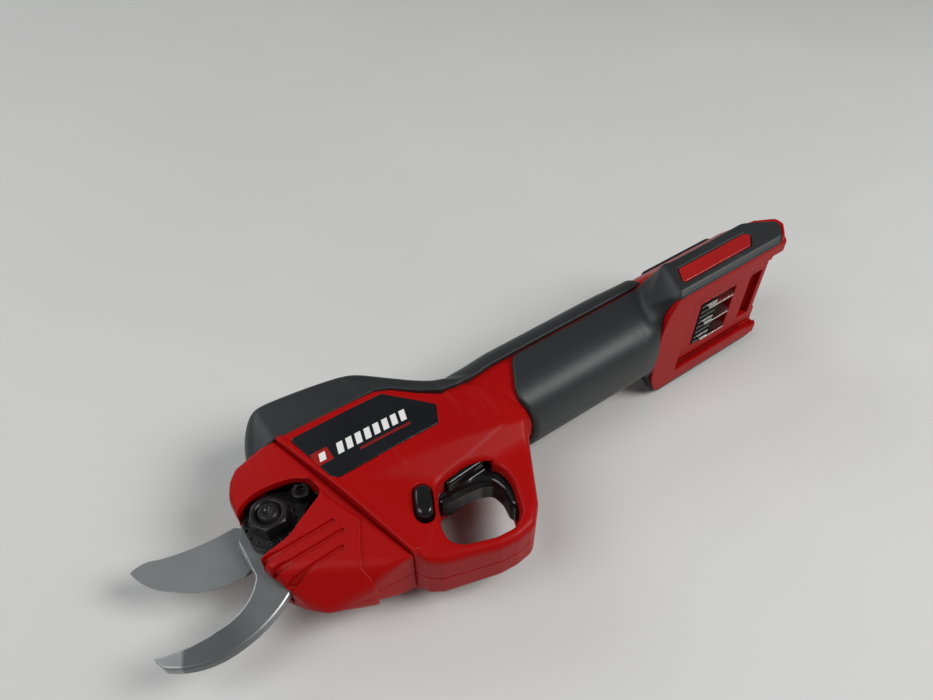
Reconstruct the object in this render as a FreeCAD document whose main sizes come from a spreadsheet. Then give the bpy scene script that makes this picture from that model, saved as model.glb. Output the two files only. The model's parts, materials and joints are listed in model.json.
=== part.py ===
import FreeCAD, Part

import math
import os

import Sketcher

# Battery pruner, lying on its right side as it is laid down.
# +X runs from the blades to the battery foot, +Y to the tool's back, +Z to its left side.
# Every piece is drawn about the blade pivot: the pivot axis is X = Y = 0 and the parting
# plane of the housing is Z = 0. Its Placement then carries it to the origin of the whole
# part, which is under the middle of the tool, on the surface it lies on.

Vector = FreeCAD.Vector
doc = FreeCAD.newDocument("battery_pruner")

# ---------------------------------------------------------------- driving dimensions
SIZES = [
    ("wall", 2.2, "wall of the mouldings"),
    ("gap", 0.4, "clearance round moving pieces"),
    ("cover_front", -9.5, "front face of the cover"),
    ("cover_side", 18.0, "half width of the cover at its back edge"),
    ("chin_side", 10.5, "half width of the cover at the chin"),
    ("head_side", 21.0, "half width of the head beside the gearbox"),
    ("guard_side", 12.5, "half width of the finger guard"),
    ("head_top", 24.5, "height of the head's side above the pivot"),
    ("chin_low", -36.0, "lowest line of the chin"),
    ("guard_low", -58.5, "lowest line of the finger guard"),
    ("hump_top", 46.0, "highest line of the hump"),
    ("hump_skin", 4.0, "thickness of the soft hump"),
    ("handle_top", 18.5, "back of the handle, under the spine strip"),
    ("handle_low", -17.5, "palm line of the handle"),
    ("handle_side", 17.0, "half width of the handle, under the side grips"),
    ("grip_skin", 2.0, "thickness of the side grips"),
    ("spine_skin", 2.5, "thickness of the spine strip"),
    ("foot_front", 189.0, "where the battery foot reaches its full width"),
    ("shoe_front", 181.0, "front edge of the battery shoe"),
    ("foot_rear", 258.0, "rear edge of the battery foot"),
    ("foot_side", 30.0, "half width of the battery foot"),
    ("foot_low", -17.5, "lower faces of the battery rails"),
    ("shoe_top", -11.0, "where the battery shoe meets the housing"),
    ("bumper_skin", 3.2, "thickness of the foot bumpers"),
    ("tip_rear", 262.5, "rear end of the foot bumpers"),
    ("hook_tip", -52.8, "tip of the hook blade"),
    ("blade_tip", -50.5, "tip of the moving blade"),
    ("blade_low", -3.0, "lower face of the moving blade"),
    ("blade_high", 1.0, "upper face of the moving blade"),
    ("hook_low", 1.1, "lower face of the hook blade"),
    ("hook_high", 5.1, "upper face of the hook blade"),
    ("pivot_radius", 4.0, "pivot bolt, M8"),
    ("hub_radius", 12.5, "hub of the moving blade"),
    ("nut_flat", 13.0, "M8 nut across its flats"),
    ("nut_low", 8.6, "underside of the pivot nut"),
    ("nut_high", 15.4, "top of the pivot nut"),
    ("drive_level", 1.5, "drive axis above the parting plane"),
    ("bevel_module", 1.5, "module of the bevel gears at their outer end"),
    ("bevel_radius", 24.0, "outer pitch radius of the bevel sector"),
    ("bevel_face", 5.0, "face width of the bevel gears"),
    ("gear_module", 0.6, "module of the planetary gears"),
    ("gear_face", 6.0, "face width of the planetary gears"),
    ("stage_two", 38.3, "front of the second stage's gears"),
    ("stage_one", 49.3, "front of the first stage's gears"),
    ("case_radius", 17.0, "outside of the gear case"),
    ("motor_front", 58.5, "front of the motor"),
    ("motor_rear", 90.5, "rear of the motor"),
    ("motor_radius", 13.5, "outside of the motor"),
    ("trigger_side", 6.5, "half width of the trigger"),
    ("trigger_x", 56.5, "trigger pin, along the tool"),
    ("trigger_y", -21.3, "trigger pin, below the pivot"),
]
sheet = doc.addObject("Spreadsheet::Sheet", "dims")
VALUES = {}
for row, (alias, value, meaning) in enumerate(SIZES, start=1):
    sheet.set("A%d" % row, alias)
    sheet.set("B%d" % row, str(value))
    sheet.setAlias("B%d" % row, alias)
    sheet.set("C%d" % row, meaning)
    VALUES[alias] = value
doc.recompute()


class Dim:
    """A size that carries both its number and the sheet formula behind it."""

    def __init__(self, value, formula):
        self.value = value
        self.formula = formula

    def __add__(self, other):
        other = as_dim(other)
        return Dim(self.value + other.value, "(%s + %s)" % (self.formula, other.formula))

    def __sub__(self, other):
        other = as_dim(other)
        return Dim(self.value - other.value, "(%s - %s)" % (self.formula, other.formula))

    def __mul__(self, factor):
        return Dim(self.value * factor, "(%s * %s)" % (self.formula, factor))

    def __neg__(self):
        return Dim(-self.value, "(0 - %s)" % self.formula)


def as_dim(size):
    return size if isinstance(size, Dim) else Dim(float(size), "%s" % size)


def dim(alias):
    return Dim(VALUES[alias], "dims." + alias)


class Sizes:
    """Gives every alias of the sheet as an attribute, so that D.wall is the wall."""

    def __getattr__(self, alias):
        return dim(alias)


D = Sizes()
PIECES = []

# The whole tool's box, worked out from the same sizes, places the origin.
SHIFT = (
    -(D.hook_tip + D.tip_rear) * 0.5,
    -(D.guard_low + D.hump_top) * 0.5,
    D.foot_side + D.bumper_skin,
)


# ---------------------------------------------------------------- drawing helpers
def bind(thing, path, size):
    """Sets a property from the sheet, so that it follows the driving dimensions."""
    thing.setExpression(path, as_dim(size).formula)


def keep(thing, label):
    """Names a finished piece and carries it to its place in the whole part."""
    thing.Label = label
    for axis, size in zip("xyz", SHIFT):
        bind(thing, "Placement.Base." + axis, size)
    PIECES.append(thing)
    return thing


def body(label):
    return keep(doc.addObject("PartDesign::Body", label), label)


def plane_of(owner, name):
    role = name + "_Plane"
    return [item for item in owner.Origin.OriginFeatures if item.Role == role][0]


def sketch(owner, name, plane, level):
    """An empty sketch on one of the body's own planes, moved along its normal."""
    drawn = owner.newObject("Sketcher::SketchObject", name)
    drawn.AttachmentSupport = (plane_of(owner, plane), [""])
    drawn.MapMode = "FlatFace"
    bind(drawn, "AttachmentOffset.Base.z", level)
    return drawn


def pin(drawn, edge, end, point):
    """Holds one end of an edge at a point measured from the sketch's origin."""
    for kind, size in zip(("DistanceX", "DistanceY"), point):
        size = as_dim(size)
        number = drawn.addConstraint(Sketcher.Constraint(kind, -1, 1, edge, end, size.value))
        if "dims." in size.formula:
            drawn.setExpression("Constraints[%d]" % number, size.formula)


def polygon(points):
    """A closed outline of straight edges through the points."""

    def draw(drawn):
        ends = [Vector(as_dim(x).value, as_dim(y).value, 0) for x, y in points]
        first = drawn.GeometryCount
        for here, after in zip(ends, ends[1:] + ends[:1]):
            drawn.addGeometry(Part.LineSegment(here, after), False)
        for index in range(len(ends)):
            following = first + (index + 1) % len(ends)
            drawn.addConstraint(Sketcher.Constraint("Coincident", first + index, 2, following, 1))
            pin(drawn, first + index, 1, points[index])

    return draw


def circle(x, y, radius):
    def draw(drawn):
        centre = Vector(as_dim(x).value, as_dim(y).value, 0)
        round_edge = Part.Circle(centre, Vector(0, 0, 1), as_dim(radius).value)
        edge = drawn.addGeometry(round_edge, False)
        pin(drawn, edge, 3, (x, y))
        number = drawn.addConstraint(Sketcher.Constraint("Radius", edge, as_dim(radius).value))
        bind(drawn, "Constraints[%d]" % number, radius)

    return draw


def curve(points):
    """A closed outline: a plain point ends a straight edge, a pair of points
    (through, end) ends an arc."""

    def draw(drawn):
        first = drawn.GeometryCount
        here = points[0]
        steps = points[1:] + points[:1]
        for step in steps:
            if isinstance(step[0], tuple):
                through, end = step
                arc = Part.Arc(Vector(*here, 0), Vector(*through, 0), Vector(*end, 0))
                drawn.addGeometry(arc, False)
                here = end
            else:
                drawn.addGeometry(Part.LineSegment(Vector(*here, 0), Vector(*step, 0)), False)
                here = step

    return draw


def slab(owner, name, plane, low, high, *outlines, cut=False):
    """Adds, or cuts, the prism that stands on the outlines between two levels."""
    drawn = sketch(owner, name + "_outline", plane, low)
    for outline in outlines:
        outline(drawn)
    before = 0.0 if owner.Tip is None else owner.Shape.Volume
    kind = "PartDesign::Pocket" if cut else "PartDesign::Pad"
    feature = owner.newObject(kind, name)
    feature.Profile = drawn
    bind(feature, "Length", as_dim(high) - low)
    if cut:
        feature.Reversed = True
    doc.recompute()
    if cut and feature.Shape.Volume > before - 0.01:
        raise RuntimeError("%s cuts nothing" % name)
    return feature


def loft(owner, name, stations, cut=False):
    """Adds, or cuts, a straight-sided skin through outlines drawn across the tool."""
    drawn = []
    for number, (level, outline) in enumerate(stations):
        station = sketch(owner, "%s_station_%d" % (name, number), "YZ", level)
        outline(station)
        drawn.append(station)
    kind = "PartDesign::SubtractiveLoft" if cut else "PartDesign::AdditiveLoft"
    feature = owner.newObject(kind, name)
    feature.Profile = drawn[0]
    feature.Sections = drawn[1:]
    feature.Ruled = True
    doc.recompute()
    return feature


def mirrored(side, low, high):
    """Levels for a half: the same two distances from the parting plane, on its side."""
    return (low, high) if side > 0 else (-as_dim(high), -as_dim(low))


def solid(label, shape):
    """A piece whose shape the drawing tools have no feature for, such as a gear."""
    piece = doc.addObject("Part::Feature", label)
    piece.Shape = shape
    return keep(piece, label)


def rod(label, x, radius, length, y=0.0, level=0.0, bore=None):
    """A round piece along the tool, hollow where it has a bore."""
    piece = body(label)
    rings = [circle(y, level, radius)]
    if bore is not None:
        rings.append(circle(y, level, bore))
    slab(piece, label + "_rod", "YZ", x, as_dim(x) + length, *rings)
    return piece


def hexagon(x, y, flat):
    reach = flat.value / math.sqrt(3.0)
    corners = [math.radians(60.0 * step + 11.0) for step in range(6)]
    return polygon([(x + reach * math.cos(turn), y + reach * math.sin(turn)) for turn in corners])


# ---------------------------------------------------------------- outlines of the mouldings
# The seam between front cover and main housing runs obliquely across the head.
SEAM_TOP = (14.5, 26.5)
SEAM_LOW = (34.5, -43.0)

COVER_OUTLINE = [
    (D.cover_front, -3.0),
    (D.cover_front, 14.0),
    (D.cover_front + 3.5, 20.0),
    (D.cover_front + 7.0, 23.5),
    SEAM_TOP,
    SEAM_LOW,
    (16.0, D.chin_low - 3.0),
    (2.0, D.chin_low),
    (-2.5, D.chin_low + 5.0),
    (-8.0, -15.5),
]
COVER_ROOM = [
    (D.cover_front + 1.8, -3.0),
    (D.cover_front + 1.8, 13.0),
    (D.cover_front + 4.8, 18.8),
    (D.cover_front + 8.0, 21.6),
    (17.4, 24.0),
    (35.8, -38.6),
    (16.5, D.chin_low - 0.6),
    (3.0, D.chin_low + 2.4),
    (0.2, D.chin_low + 6.5),
    (-5.4, -15.0),
]
HEAD_OUTLINE = [
    SEAM_TOP,
    (16.0, D.head_top + 10.0),
    (20.0, D.hump_top - 6.0),
    (50.0, 36.0),
    (58.0, 32.0),
    (78.0, D.handle_top - 1.0),
    (92.0, D.handle_top - 1.0),
    (104.0, D.handle_low + 1.0),
    (60.0, -24.0),
    (40.0, -45.0),
    SEAM_LOW,
]
HEAD_ROOM = [
    (13.5, 24.1),
    (17.5, D.head_top + 8.2),
    (21.0, D.hump_top - 8.5),
    (49.0, 33.6),
    (57.0, 29.8),
    (77.0, D.handle_top - 3.5),
    (93.0, D.handle_top - 3.5),
    (93.0, D.handle_low + 2.2),
    (50.5, -18.0),
    (26.0, -18.0),
]
CHIN_ROOM = [(26.0, -17.0), (49.0, -17.0), (42.0, -24.0), (36.0, -38.0), (32.5, -40.0)]
GUARD_OUTLINE = [
    SEAM_LOW,
    (37.0, -47.8),
    (41.5, -51.0),
    (62.0, -57.6),
    (69.0, D.guard_low),
    (75.5, -56.8),
    (82.0, -50.0),
    (104.0, D.handle_low),
    (98.0, -8.0),
    (40.0, -8.0),
]
OPENING = [
    (56.5, -25.0),
    (71.0, -23.5),
    (78.0, -26.0),
    (81.5, -31.5),
    (81.0, -38.5),
    (75.5, -49.5),
    (70.5, -53.8),
    (63.0, -53.2),
    (51.5, -49.3),
    (47.8, -46.0),
    (47.8, -41.0),
    (53.0, -30.0),
]


def section(top, low, side, shoulder, hip, rise, fall):
    """Half of the tool's section as (Y, Z) vertices, from the parting plane outwards.

    shoulder and hip are the flats on the back and underneath, as shares of the half width.
    rise and fall say how far down the height the widest stretch starts and ends.
    """
    top, low, side = as_dim(top), as_dim(low), as_dim(side)
    return [
        (top, as_dim(0.0)),
        (top, side * shoulder),
        (top * (1.0 - rise) + low * rise, side),
        (top * (1.0 - fall) + low * fall, side),
        (low, side * hip),
        (low, as_dim(0.0)),
    ]


def handle_section(inset=0.0):
    return section(D.handle_top - inset, D.handle_low + inset, D.handle_side - inset,
                   0.55, 0.55, 0.28, 0.72)


def foot_section(inset=0.0):
    return section(D.handle_top - inset, D.shoe_top + inset, D.foot_side - inset,
                   0.35, 0.97, 0.58, 0.93)


def shoe_room(owner, name, side):
    """Makes room for the battery shoe under the widening part of the handle."""
    slab(owner, name + "_shoe_room", "XY", *mirrored(side, 0.0, SHOE_FRONT_SIDE + 0.3),
         polygon([(D.shoe_front - 0.3, -25.0), (D.foot_front + 1.0, -25.0),
                  (D.foot_front + 1.0, D.shoe_top), (D.shoe_front - 0.3, D.shoe_top)]),
         cut=True)


def blended(first, second, share):
    """The vertices that lie a share of the way from one section to another."""
    keep_share = 1.0 - share
    return [
        (y_a * keep_share + y_b * share, z_a * keep_share + z_b * share)
        for (y_a, z_a), (y_b, z_b) in zip(first, second)
    ]


def on_side(vertices, side):
    """The outline of a half section on the left (+1) or right (-1) of the parting plane."""
    if side > 0:
        return polygon(vertices)
    return polygon([(y, -z) for y, z in reversed(vertices)])


def sloping_cut(owner, name, side, x_low, x_high, high_edge, low_edge):
    """Trims a half's side face to the slope between two (Y, Z) edges."""
    (y_high, z_high), (y_low, z_low) = high_edge, low_edge
    sign = 1.0 if side > 0 else -1.0
    far = 60.0 * sign
    slope = (z_high - z_low) * (1.0 / (y_high - y_low))
    up = z_high + slope * (50.0 - y_high)
    down = z_low - slope * (y_low + 70.0)
    corners = [(50.0, up * sign), (50.0, far), (-70.0, far), (-70.0, down * sign)]
    slab(owner, name, "YZ", x_low, x_high, polygon(corners), cut=True)


# ---------------------------------------------------------------- housing and covers
# Screws that hold the two housing halves, as (X, Y), and the posts they run in.
GUARD_SCREW = (41.5, -41.5)
POST_SPOTS = [(66.5, 19.3), (104.0, -9.0), (104.0, 12.0), (152.0, -7.0), (236.0, 4.0)]
COVER_SPOTS = [(1.5, 19.2), (10.0, -31.0)]
POST_RADIUS = 3.6
SCREW_RADIUS = 1.5
SCREW_HEAD = 2.9
SCREW_SEAT = 9.0
SCREW_TIP = 8.0
COVER_SCREW_SEAT = 5.5

# Cross-bolt that locks the trigger: a capsule-shaped head on a round shaft.
LOCK_X, LOCK_Y = 47.6, -29.2
LOCK_TURN = math.radians(62.0)
LOCK_REACH = 4.6
LOCK_HALF = 3.25
LOCK_SHAFT = 2.2
LOCK_HEAD_LOW = 12.6
LOCK_HEAD_HIGH = 19.8
LOCK_TRAVEL = 4.0

# The shoe's front end is narrower than the foot.
SHOE_FRONT_SIDE = 23.0

# Half width of the trigger where it fills the top of the finger opening.
TRIGGER_WING = 11.9

# Stations along the handle: its front end, the front of the side pads, and where
# the round section starts to widen into the battery foot.
HANDLE_FRONT = 88.0
PAD_FRONT = 112.0
HANDLE_END = 160.0

LOCK_SCREW_X, LOCK_SCREW_Y = 14.2, 3.8
HOOK_SCREWS = [(11.5, -18.5), (19.5, -18.5)]


def capsule(x, y, reach, half):
    """A straight slot with round ends, leaning along the finger guard."""
    along = Vector(math.cos(LOCK_TURN), math.sin(LOCK_TURN), 0)
    across = Vector(-along.y, along.x, 0)
    centre = Vector(x, y, 0)
    front, rear = centre - along * reach, centre + along * reach
    ring = [
        front + across * half,
        front - along * half,
        front - across * half,
        rear - across * half,
        rear + along * half,
        rear + across * half,
    ]
    flat = [(corner.x, corner.y) for corner in ring]
    return curve([flat[0], (flat[1], flat[2]), flat[3], (flat[4], flat[5])])


def teardrop():
    """Room round the lock plate: round about the pivot, narrow about the lock screw."""
    return curve([
        (-10.6, 8.0),
        ((0.5, 13.6), (10.0, 11.0)),
        (15.6, 8.2),
        ((18.1, 3.8), (15.9, -1.4)),
        (8.0, -9.4),
        (2.0, -12.2),
        (-14.0, -12.6),
        (-14.0, 8.0),
    ])


def front_cover(side):
    name = "front_cover_left" if side > 0 else "front_cover_right"
    shell = body(name)
    slab(shell, name + "_block", "XY", *mirrored(side, 0.0, D.cover_side + 1.0),
         polygon(COVER_OUTLINE))
    sloping_cut(shell, name + "_slope", side, -20.0, 50.0,
                (22.0, D.cover_side), (-36.0, D.chin_side))
    slab(shell, name + "_room", "XY", *mirrored(side, 0.0, D.chin_side - D.wall),
         polygon(COVER_ROOM), cut=True)
    jaw = 5.4 if side > 0 else 3.3
    slab(shell, name + "_jaw", "XY", *mirrored(side, 0.0, jaw),
         polygon([(-15.0, -31.5), (-15.0, 15.5), (0.0, 15.5), (4.0, -31.5)]), cut=True)
    if side > 0:
        slab(shell, name + "_recess", "XY", 5.0, D.cover_side + 3.0, teardrop(), cut=True)
        slab(shell, name + "_pinion_room", "YZ", 18.7, 34.0,
             polygon([(-9.4, 0.0), (-9.4, 6.0), (-4.0, 10.9), (4.0, 10.9), (9.4, 6.0),
                      (9.4, 0.0)]), cut=True)
    else:
        slab(shell, name + "_bolt_hole", "XY", -(D.cover_side + 3.0), -8.0,
             circle(0.0, 0.0, 9.4), cut=True)
        slab(shell, name + "_sector_room", "XY", -(D.chin_side - 0.4), -8.0,
             polygon([(-4.0, -24.0), (4.0, -26.0), (14.0, -24.0), (29.0, -16.0),
                      (27.0, 10.0), (20.0, 17.0), (13.0, 23.4), (0.0, 23.4), (-4.0, 12.0)]),
             cut=True)
    seat = D.cover_side + 1.0
    posts = [circle(x, y, 3.0) for x, y in COVER_SPOTS]
    slab(shell, name + "_posts", "XY", *mirrored(side, 0.0, 8.6), *posts)
    holes = [circle(x, y, SCREW_RADIUS) for x, y in COVER_SPOTS]
    if side > 0:
        slab(shell, name + "_screw_holes", "XY", 0.0, SCREW_TIP, *holes, cut=True)
    else:
        slab(shell, name + "_screw_holes", "XY", -seat, 0.0, *holes, cut=True)
        heads = [circle(x, y, SCREW_HEAD) for x, y in COVER_SPOTS]
        slab(shell, name + "_screw_seats", "XY", -seat, -COVER_SCREW_SEAT, *heads, cut=True)
    return shell


def housing(side):
    name = "housing_left" if side > 0 else "housing_right"
    shell = body(name)
    slab(shell, name + "_head", "XY", *mirrored(side, 0.0, D.head_side),
         polygon(HEAD_OUTLINE))
    sloping_cut(shell, name + "_slope", side, 0.0, 120.0,
                (-9.0, D.head_side), (-36.0, D.chin_side))
    slab(shell, name + "_hump_side", "XY",
         *mirrored(side, D.head_side - D.hump_skin, D.head_side + 2.0),
         polygon([(0.0, D.head_top), (0.0, 60.0), (120.0, 60.0), (120.0, 9.5),
                  (78.0, 9.5), (60.0, D.head_top)]), cut=True)
    slab(shell, name + "_neck", "XZ", -60.0, 60.0,
         polygon(mirror_points(side, [(68.0, D.head_side + 0.1), (94.0, D.handle_side),
                                      (110.0, D.handle_side), (110.0, 40.0), (68.0, 40.0)])),
         cut=True)
    slab(shell, name + "_guard", "XY", *mirrored(side, 0.0, D.guard_side),
         polygon(GUARD_OUTLINE))
    loft(shell, name + "_handle", [
        (HANDLE_FRONT, on_side(handle_section(), side)),
        (HANDLE_END, on_side(handle_section(), side)),
        (D.foot_front, on_side(foot_section(), side)),
        (D.foot_rear, on_side(foot_section(), side)),
    ])
    slab(shell, name + "_room", "XY",
         *mirrored(side, 0.0, D.head_side - D.wall - D.hump_skin),
         polygon(HEAD_ROOM), cut=True)
    slab(shell, name + "_chin_room", "XY", *mirrored(side, 0.0, D.chin_side - D.wall),
         polygon(CHIN_ROOM), cut=True)
    inner = D.head_side - D.wall
    slab(shell, name + "_gearbox_room", "YZ", 20.0, 60.0,
         polygon(mirror_points(side, [(-17.3, 0.0), (-17.3, 9.0), (-9.0, inner),
                                      (17.3, inner), (17.3, 0.0)])), cut=True)
    slab(shell, name + "_motor_room", "YZ", 59.0, 93.0,
         polygon(mirror_points(side, [(-13.9, 0.0), (-13.9, 9.0), (-9.0, 15.3),
                                      (9.0, 15.3), (15.0, 9.0), (15.0, 0.0)])), cut=True)
    loft(shell, name + "_hollow", [
        (HANDLE_FRONT - 3.0, on_side(handle_section(2.2), side)),
        (HANDLE_END + 1.0, on_side(handle_section(2.2), side)),
        (D.foot_front + 1.0, on_side(foot_section(2.2), side)),
        (D.foot_rear - D.wall, on_side(foot_section(2.2), side)),
    ], cut=True)
    posts = [circle(x, y, POST_RADIUS) for x, y in POST_SPOTS]
    slab(shell, name + "_posts", "XY", *mirrored(side, 0.0, 11.0), *posts[:4])
    slab(shell, name + "_foot_post", "XY", *mirrored(side, 0.0, 20.0), posts[4])
    slab(shell, name + "_opening", "XY", *mirrored(side, 0.0, D.head_side + 4.0),
         polygon(OPENING), cut=True)
    slab(shell, name + "_trigger_room", "XY", *mirrored(side, 0.0, D.trigger_side + D.gap),
         polygon([(50.0, -16.9), (50.0, -24.0), (56.0, -29.0), (74.0, -34.0), (74.0, -47.5),
                  (79.5, -48.5), (84.0, -44.0), (87.6, -36.0), (87.6, -27.0), (98.5, -26.0),
                  (98.5, -14.0), (88.0, -13.0)]), cut=True)
    slab(shell, name + "_wing_room", "XY", *mirrored(side, 0.0, D.gap + TRIGGER_WING),
         polygon([(59.6, -18.3), (80.5, -17.2), (80.5, -27.5), (59.6, -27.5)]), cut=True)
    slab(shell, name + "_pin_hole", "XY", *mirrored(side, 0.0, 10.6),
         circle(D.trigger_x, D.trigger_y, 1.5), cut=True)
    if side < 0:
        slab(shell, name + "_spring_room", "XY", -(D.trigger_side + 3.8), -D.trigger_side,
             circle(D.trigger_x, D.trigger_y, 3.9), cut=True)
    shoe_room(shell, name, side)
    slab(shell, name + "_lock_hole", "XY", *mirrored(side, 0.0, D.head_side + 4.0),
         circle(LOCK_X, LOCK_Y, LOCK_SHAFT + 0.1), cut=True)
    if side > 0:
        slab(shell, name + "_lock_recess", "XY", LOCK_HEAD_LOW - LOCK_TRAVEL - 0.3,
             D.head_side + 4.0, capsule(LOCK_X, LOCK_Y, LOCK_REACH, LOCK_HALF + 0.35),
             cut=True)
    slab(shell, name + "_terminal_slot", "XY", *mirrored(side, 0.0, 13.4),
         polygon([(208.0, -15.0), (231.0, -15.0), (231.0, -4.0), (208.0, -4.0)]), cut=True)
    slab(shell, name + "_button_hole", "XY", *mirrored(side, 0.0, 4.4),
         polygon([(207.6, 10.0), (207.6, 25.0), (218.6, 25.0), (218.6, 10.0)]), cut=True)
    holes = [circle(x, y, SCREW_RADIUS) for x, y in POST_SPOTS + [GUARD_SCREW]]
    if side > 0:
        slab(shell, name + "_screw_holes", "XY", 0.0, SCREW_TIP, *holes, cut=True)
    else:
        outside = -(D.foot_side + 4.0)
        slab(shell, name + "_screw_holes", "XY", outside, 0.0, *holes, cut=True)
        heads = [circle(x, y, SCREW_HEAD) for x, y in POST_SPOTS + [GUARD_SCREW]]
        slab(shell, name + "_screw_seats", "XY", outside, -SCREW_SEAT, *heads, cut=True)
    return shell


def mirror_points(side, points):
    """Points of an outline whose second coordinate is the distance from the parting plane."""
    if side > 0:
        return points
    return [(first, -as_dim(second)) for first, second in reversed(points)]


def screw_group(label, spots, seat):
    """Equal screws driven from the tool's right side, as one group of solids."""
    pieces = []
    for x, y in spots:
        shank = Part.makeCylinder(SCREW_RADIUS, seat + SCREW_TIP - 0.2, Vector(x, y, -seat))
        head = Part.makeCylinder(SCREW_HEAD - 0.1, 2.2, Vector(x, y, -seat - 2.2))
        cross = Part.makeBox(3.0, 0.7, 1.0, Vector(x - 1.5, y - 0.35, -seat - 2.2))
        pieces.append(shank.fuse(head).cut(cross).removeSplitter())
    solid(label, Part.makeCompound(pieces))


# ---------------------------------------------------------------- soft skins and trim
HUMP_LINE = [
    (4.0, 24.7),
    (6.0, 32.5),
    (10.0, 41.5),
    (14.0, 45.2),
    (19.0, D.hump_top),
    (30.0, 44.9),
    (50.0, 41.4),
    (58.0, 37.8),
    (64.0, 33.0),
    (72.0, 25.4),
    (79.0, 21.2),
]


def top_grip():
    """Soft hump over the head that runs on as a strip along the back of the handle."""
    skin = body("top_grip")
    core = D.head_side - D.hump_skin
    under = [
        (88.0, D.handle_top + D.spine_skin),
        (88.0, D.handle_top - 1.0),
        (78.0, D.handle_top - 1.0),
        (58.0, 32.0),
        (50.0, 36.0),
        (20.0, D.hump_top - 6.0),
        (16.0, D.head_top + 10.0),
        SEAM_TOP,
    ]
    slab(skin, "hump_roof", "XY", -core, core, polygon(HUMP_LINE + under))
    hem = [(88.0, 17.0), (88.0, 9.5), (78.0, 9.5), (60.0, D.head_top), (15.1, D.head_top),
           SEAM_TOP]
    for side in (1, -1):
        slab(skin, "hump_side_%s" % ("left" if side > 0 else "right"), "XY",
             *mirrored(side, core, D.head_side - 0.3), polygon(HUMP_LINE + hem))
    top, back = D.handle_top, D.handle_top + D.spine_skin
    slab(skin, "spine_strip", "YZ", 88.0, 195.0,
         polygon([(back, -7.8), (top + 1.0, -9.3), (top, -9.3), (top, 9.3), (top + 1.0, 9.3),
                  (back, 7.8)]))
    return skin


def side_grip(side):
    """Soft pad along one side of the handle, flaring towards the foot."""
    name = "side_grip_left" if side > 0 else "side_grip_right"
    pad = body(name)

    def ring(share, skin):
        inner = blended(handle_section(), foot_section(), share)[2:]
        y_up, z_up = inner[0]
        y_down, z_down = inner[1]
        y_low, z_low = inner[2]
        bottom = inner[3][0]
        return [
            (y_up - 1.5, z_up),
            (y_up - 1.5, z_up + skin),
            (y_down, z_down + skin),
            (y_low - skin, z_low + skin * 0.5),
            (bottom - skin, as_dim(0.2)),
            (bottom, as_dim(0.2)),
            (y_low, z_low),
            (y_down, z_down),
        ]

    loft(pad, name + "_pad", [
        (PAD_FRONT, on_side(ring(0.0, D.grip_skin), side)),
        (HANDLE_END, on_side(ring(0.0, D.grip_skin), side)),
        (D.foot_front, on_side(ring(1.0, D.grip_skin), side)),
    ])
    shoe_room(pad, name, side)
    if side < 0:
        slab(pad, name + "_screw_access", "XY", -40.0, -5.0,
             circle(POST_SPOTS[3][0], POST_SPOTS[3][1], SCREW_HEAD + 0.3), cut=True)
    return pad


BUMPER_OUTLINE = [
    (189.0, -11.5),
    (191.5, D.foot_low),
    (256.0, D.foot_low),
    (D.tip_rear, -9.0),
    (D.tip_rear, -4.0),
    (252.0, 1.0),
    (200.0, 1.0),
    (191.0, -2.0),
]
INLAY_OUTLINE = [(193.6, -11.8), (198.0, -4.5), (239.6, -4.5), (242.0, -6.6), (236.0, -11.8)]
INLAY_ROOM = [(192.7, -12.3), (197.7, -4.0), (239.8, -4.0), (242.8, -6.6), (236.2, -12.3)]
BADGE_OUTLINE = [(19.6, 20.3), (59.5, 20.3), (75.0, 4.0), (70.4, -4.6), (27.0, -5.2),
                 (24.6, -3.2)]


def foot_trim(side):
    end = "left" if side > 0 else "right"
    bumper = body("foot_bumper_" + end)
    outside = D.foot_side + D.bumper_skin
    slab(bumper, "bumper_%s_pad" % end, "XY", *mirrored(side, D.foot_side, outside),
         polygon(BUMPER_OUTLINE))
    slab(bumper, "bumper_%s_room" % end, "XY", *mirrored(side, outside - 1.6, outside + 1.0),
         polygon(INLAY_ROOM), cut=True)
    inlay = body("foot_inlay_" + end)
    slab(inlay, "inlay_%s_panel" % end, "XY", *mirrored(side, outside - 1.6, outside - 0.2),
         polygon(INLAY_OUTLINE))
    badge = body("badge_" + end)
    slab(badge, "badge_%s_plate" % end, "XY", *mirrored(side, D.head_side, D.head_side + 0.8),
         polygon(BADGE_OUTLINE))


# ---------------------------------------------------------------- battery foot
RAIL_INSIDE = 22.5
GROOVE_SIDE = 25.5
CHANNEL_FLOOR = -14.7
GROOVE_TOP = -12.6
CONTACT_LEVELS = (-10.5, 0.0, 10.5)


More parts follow.
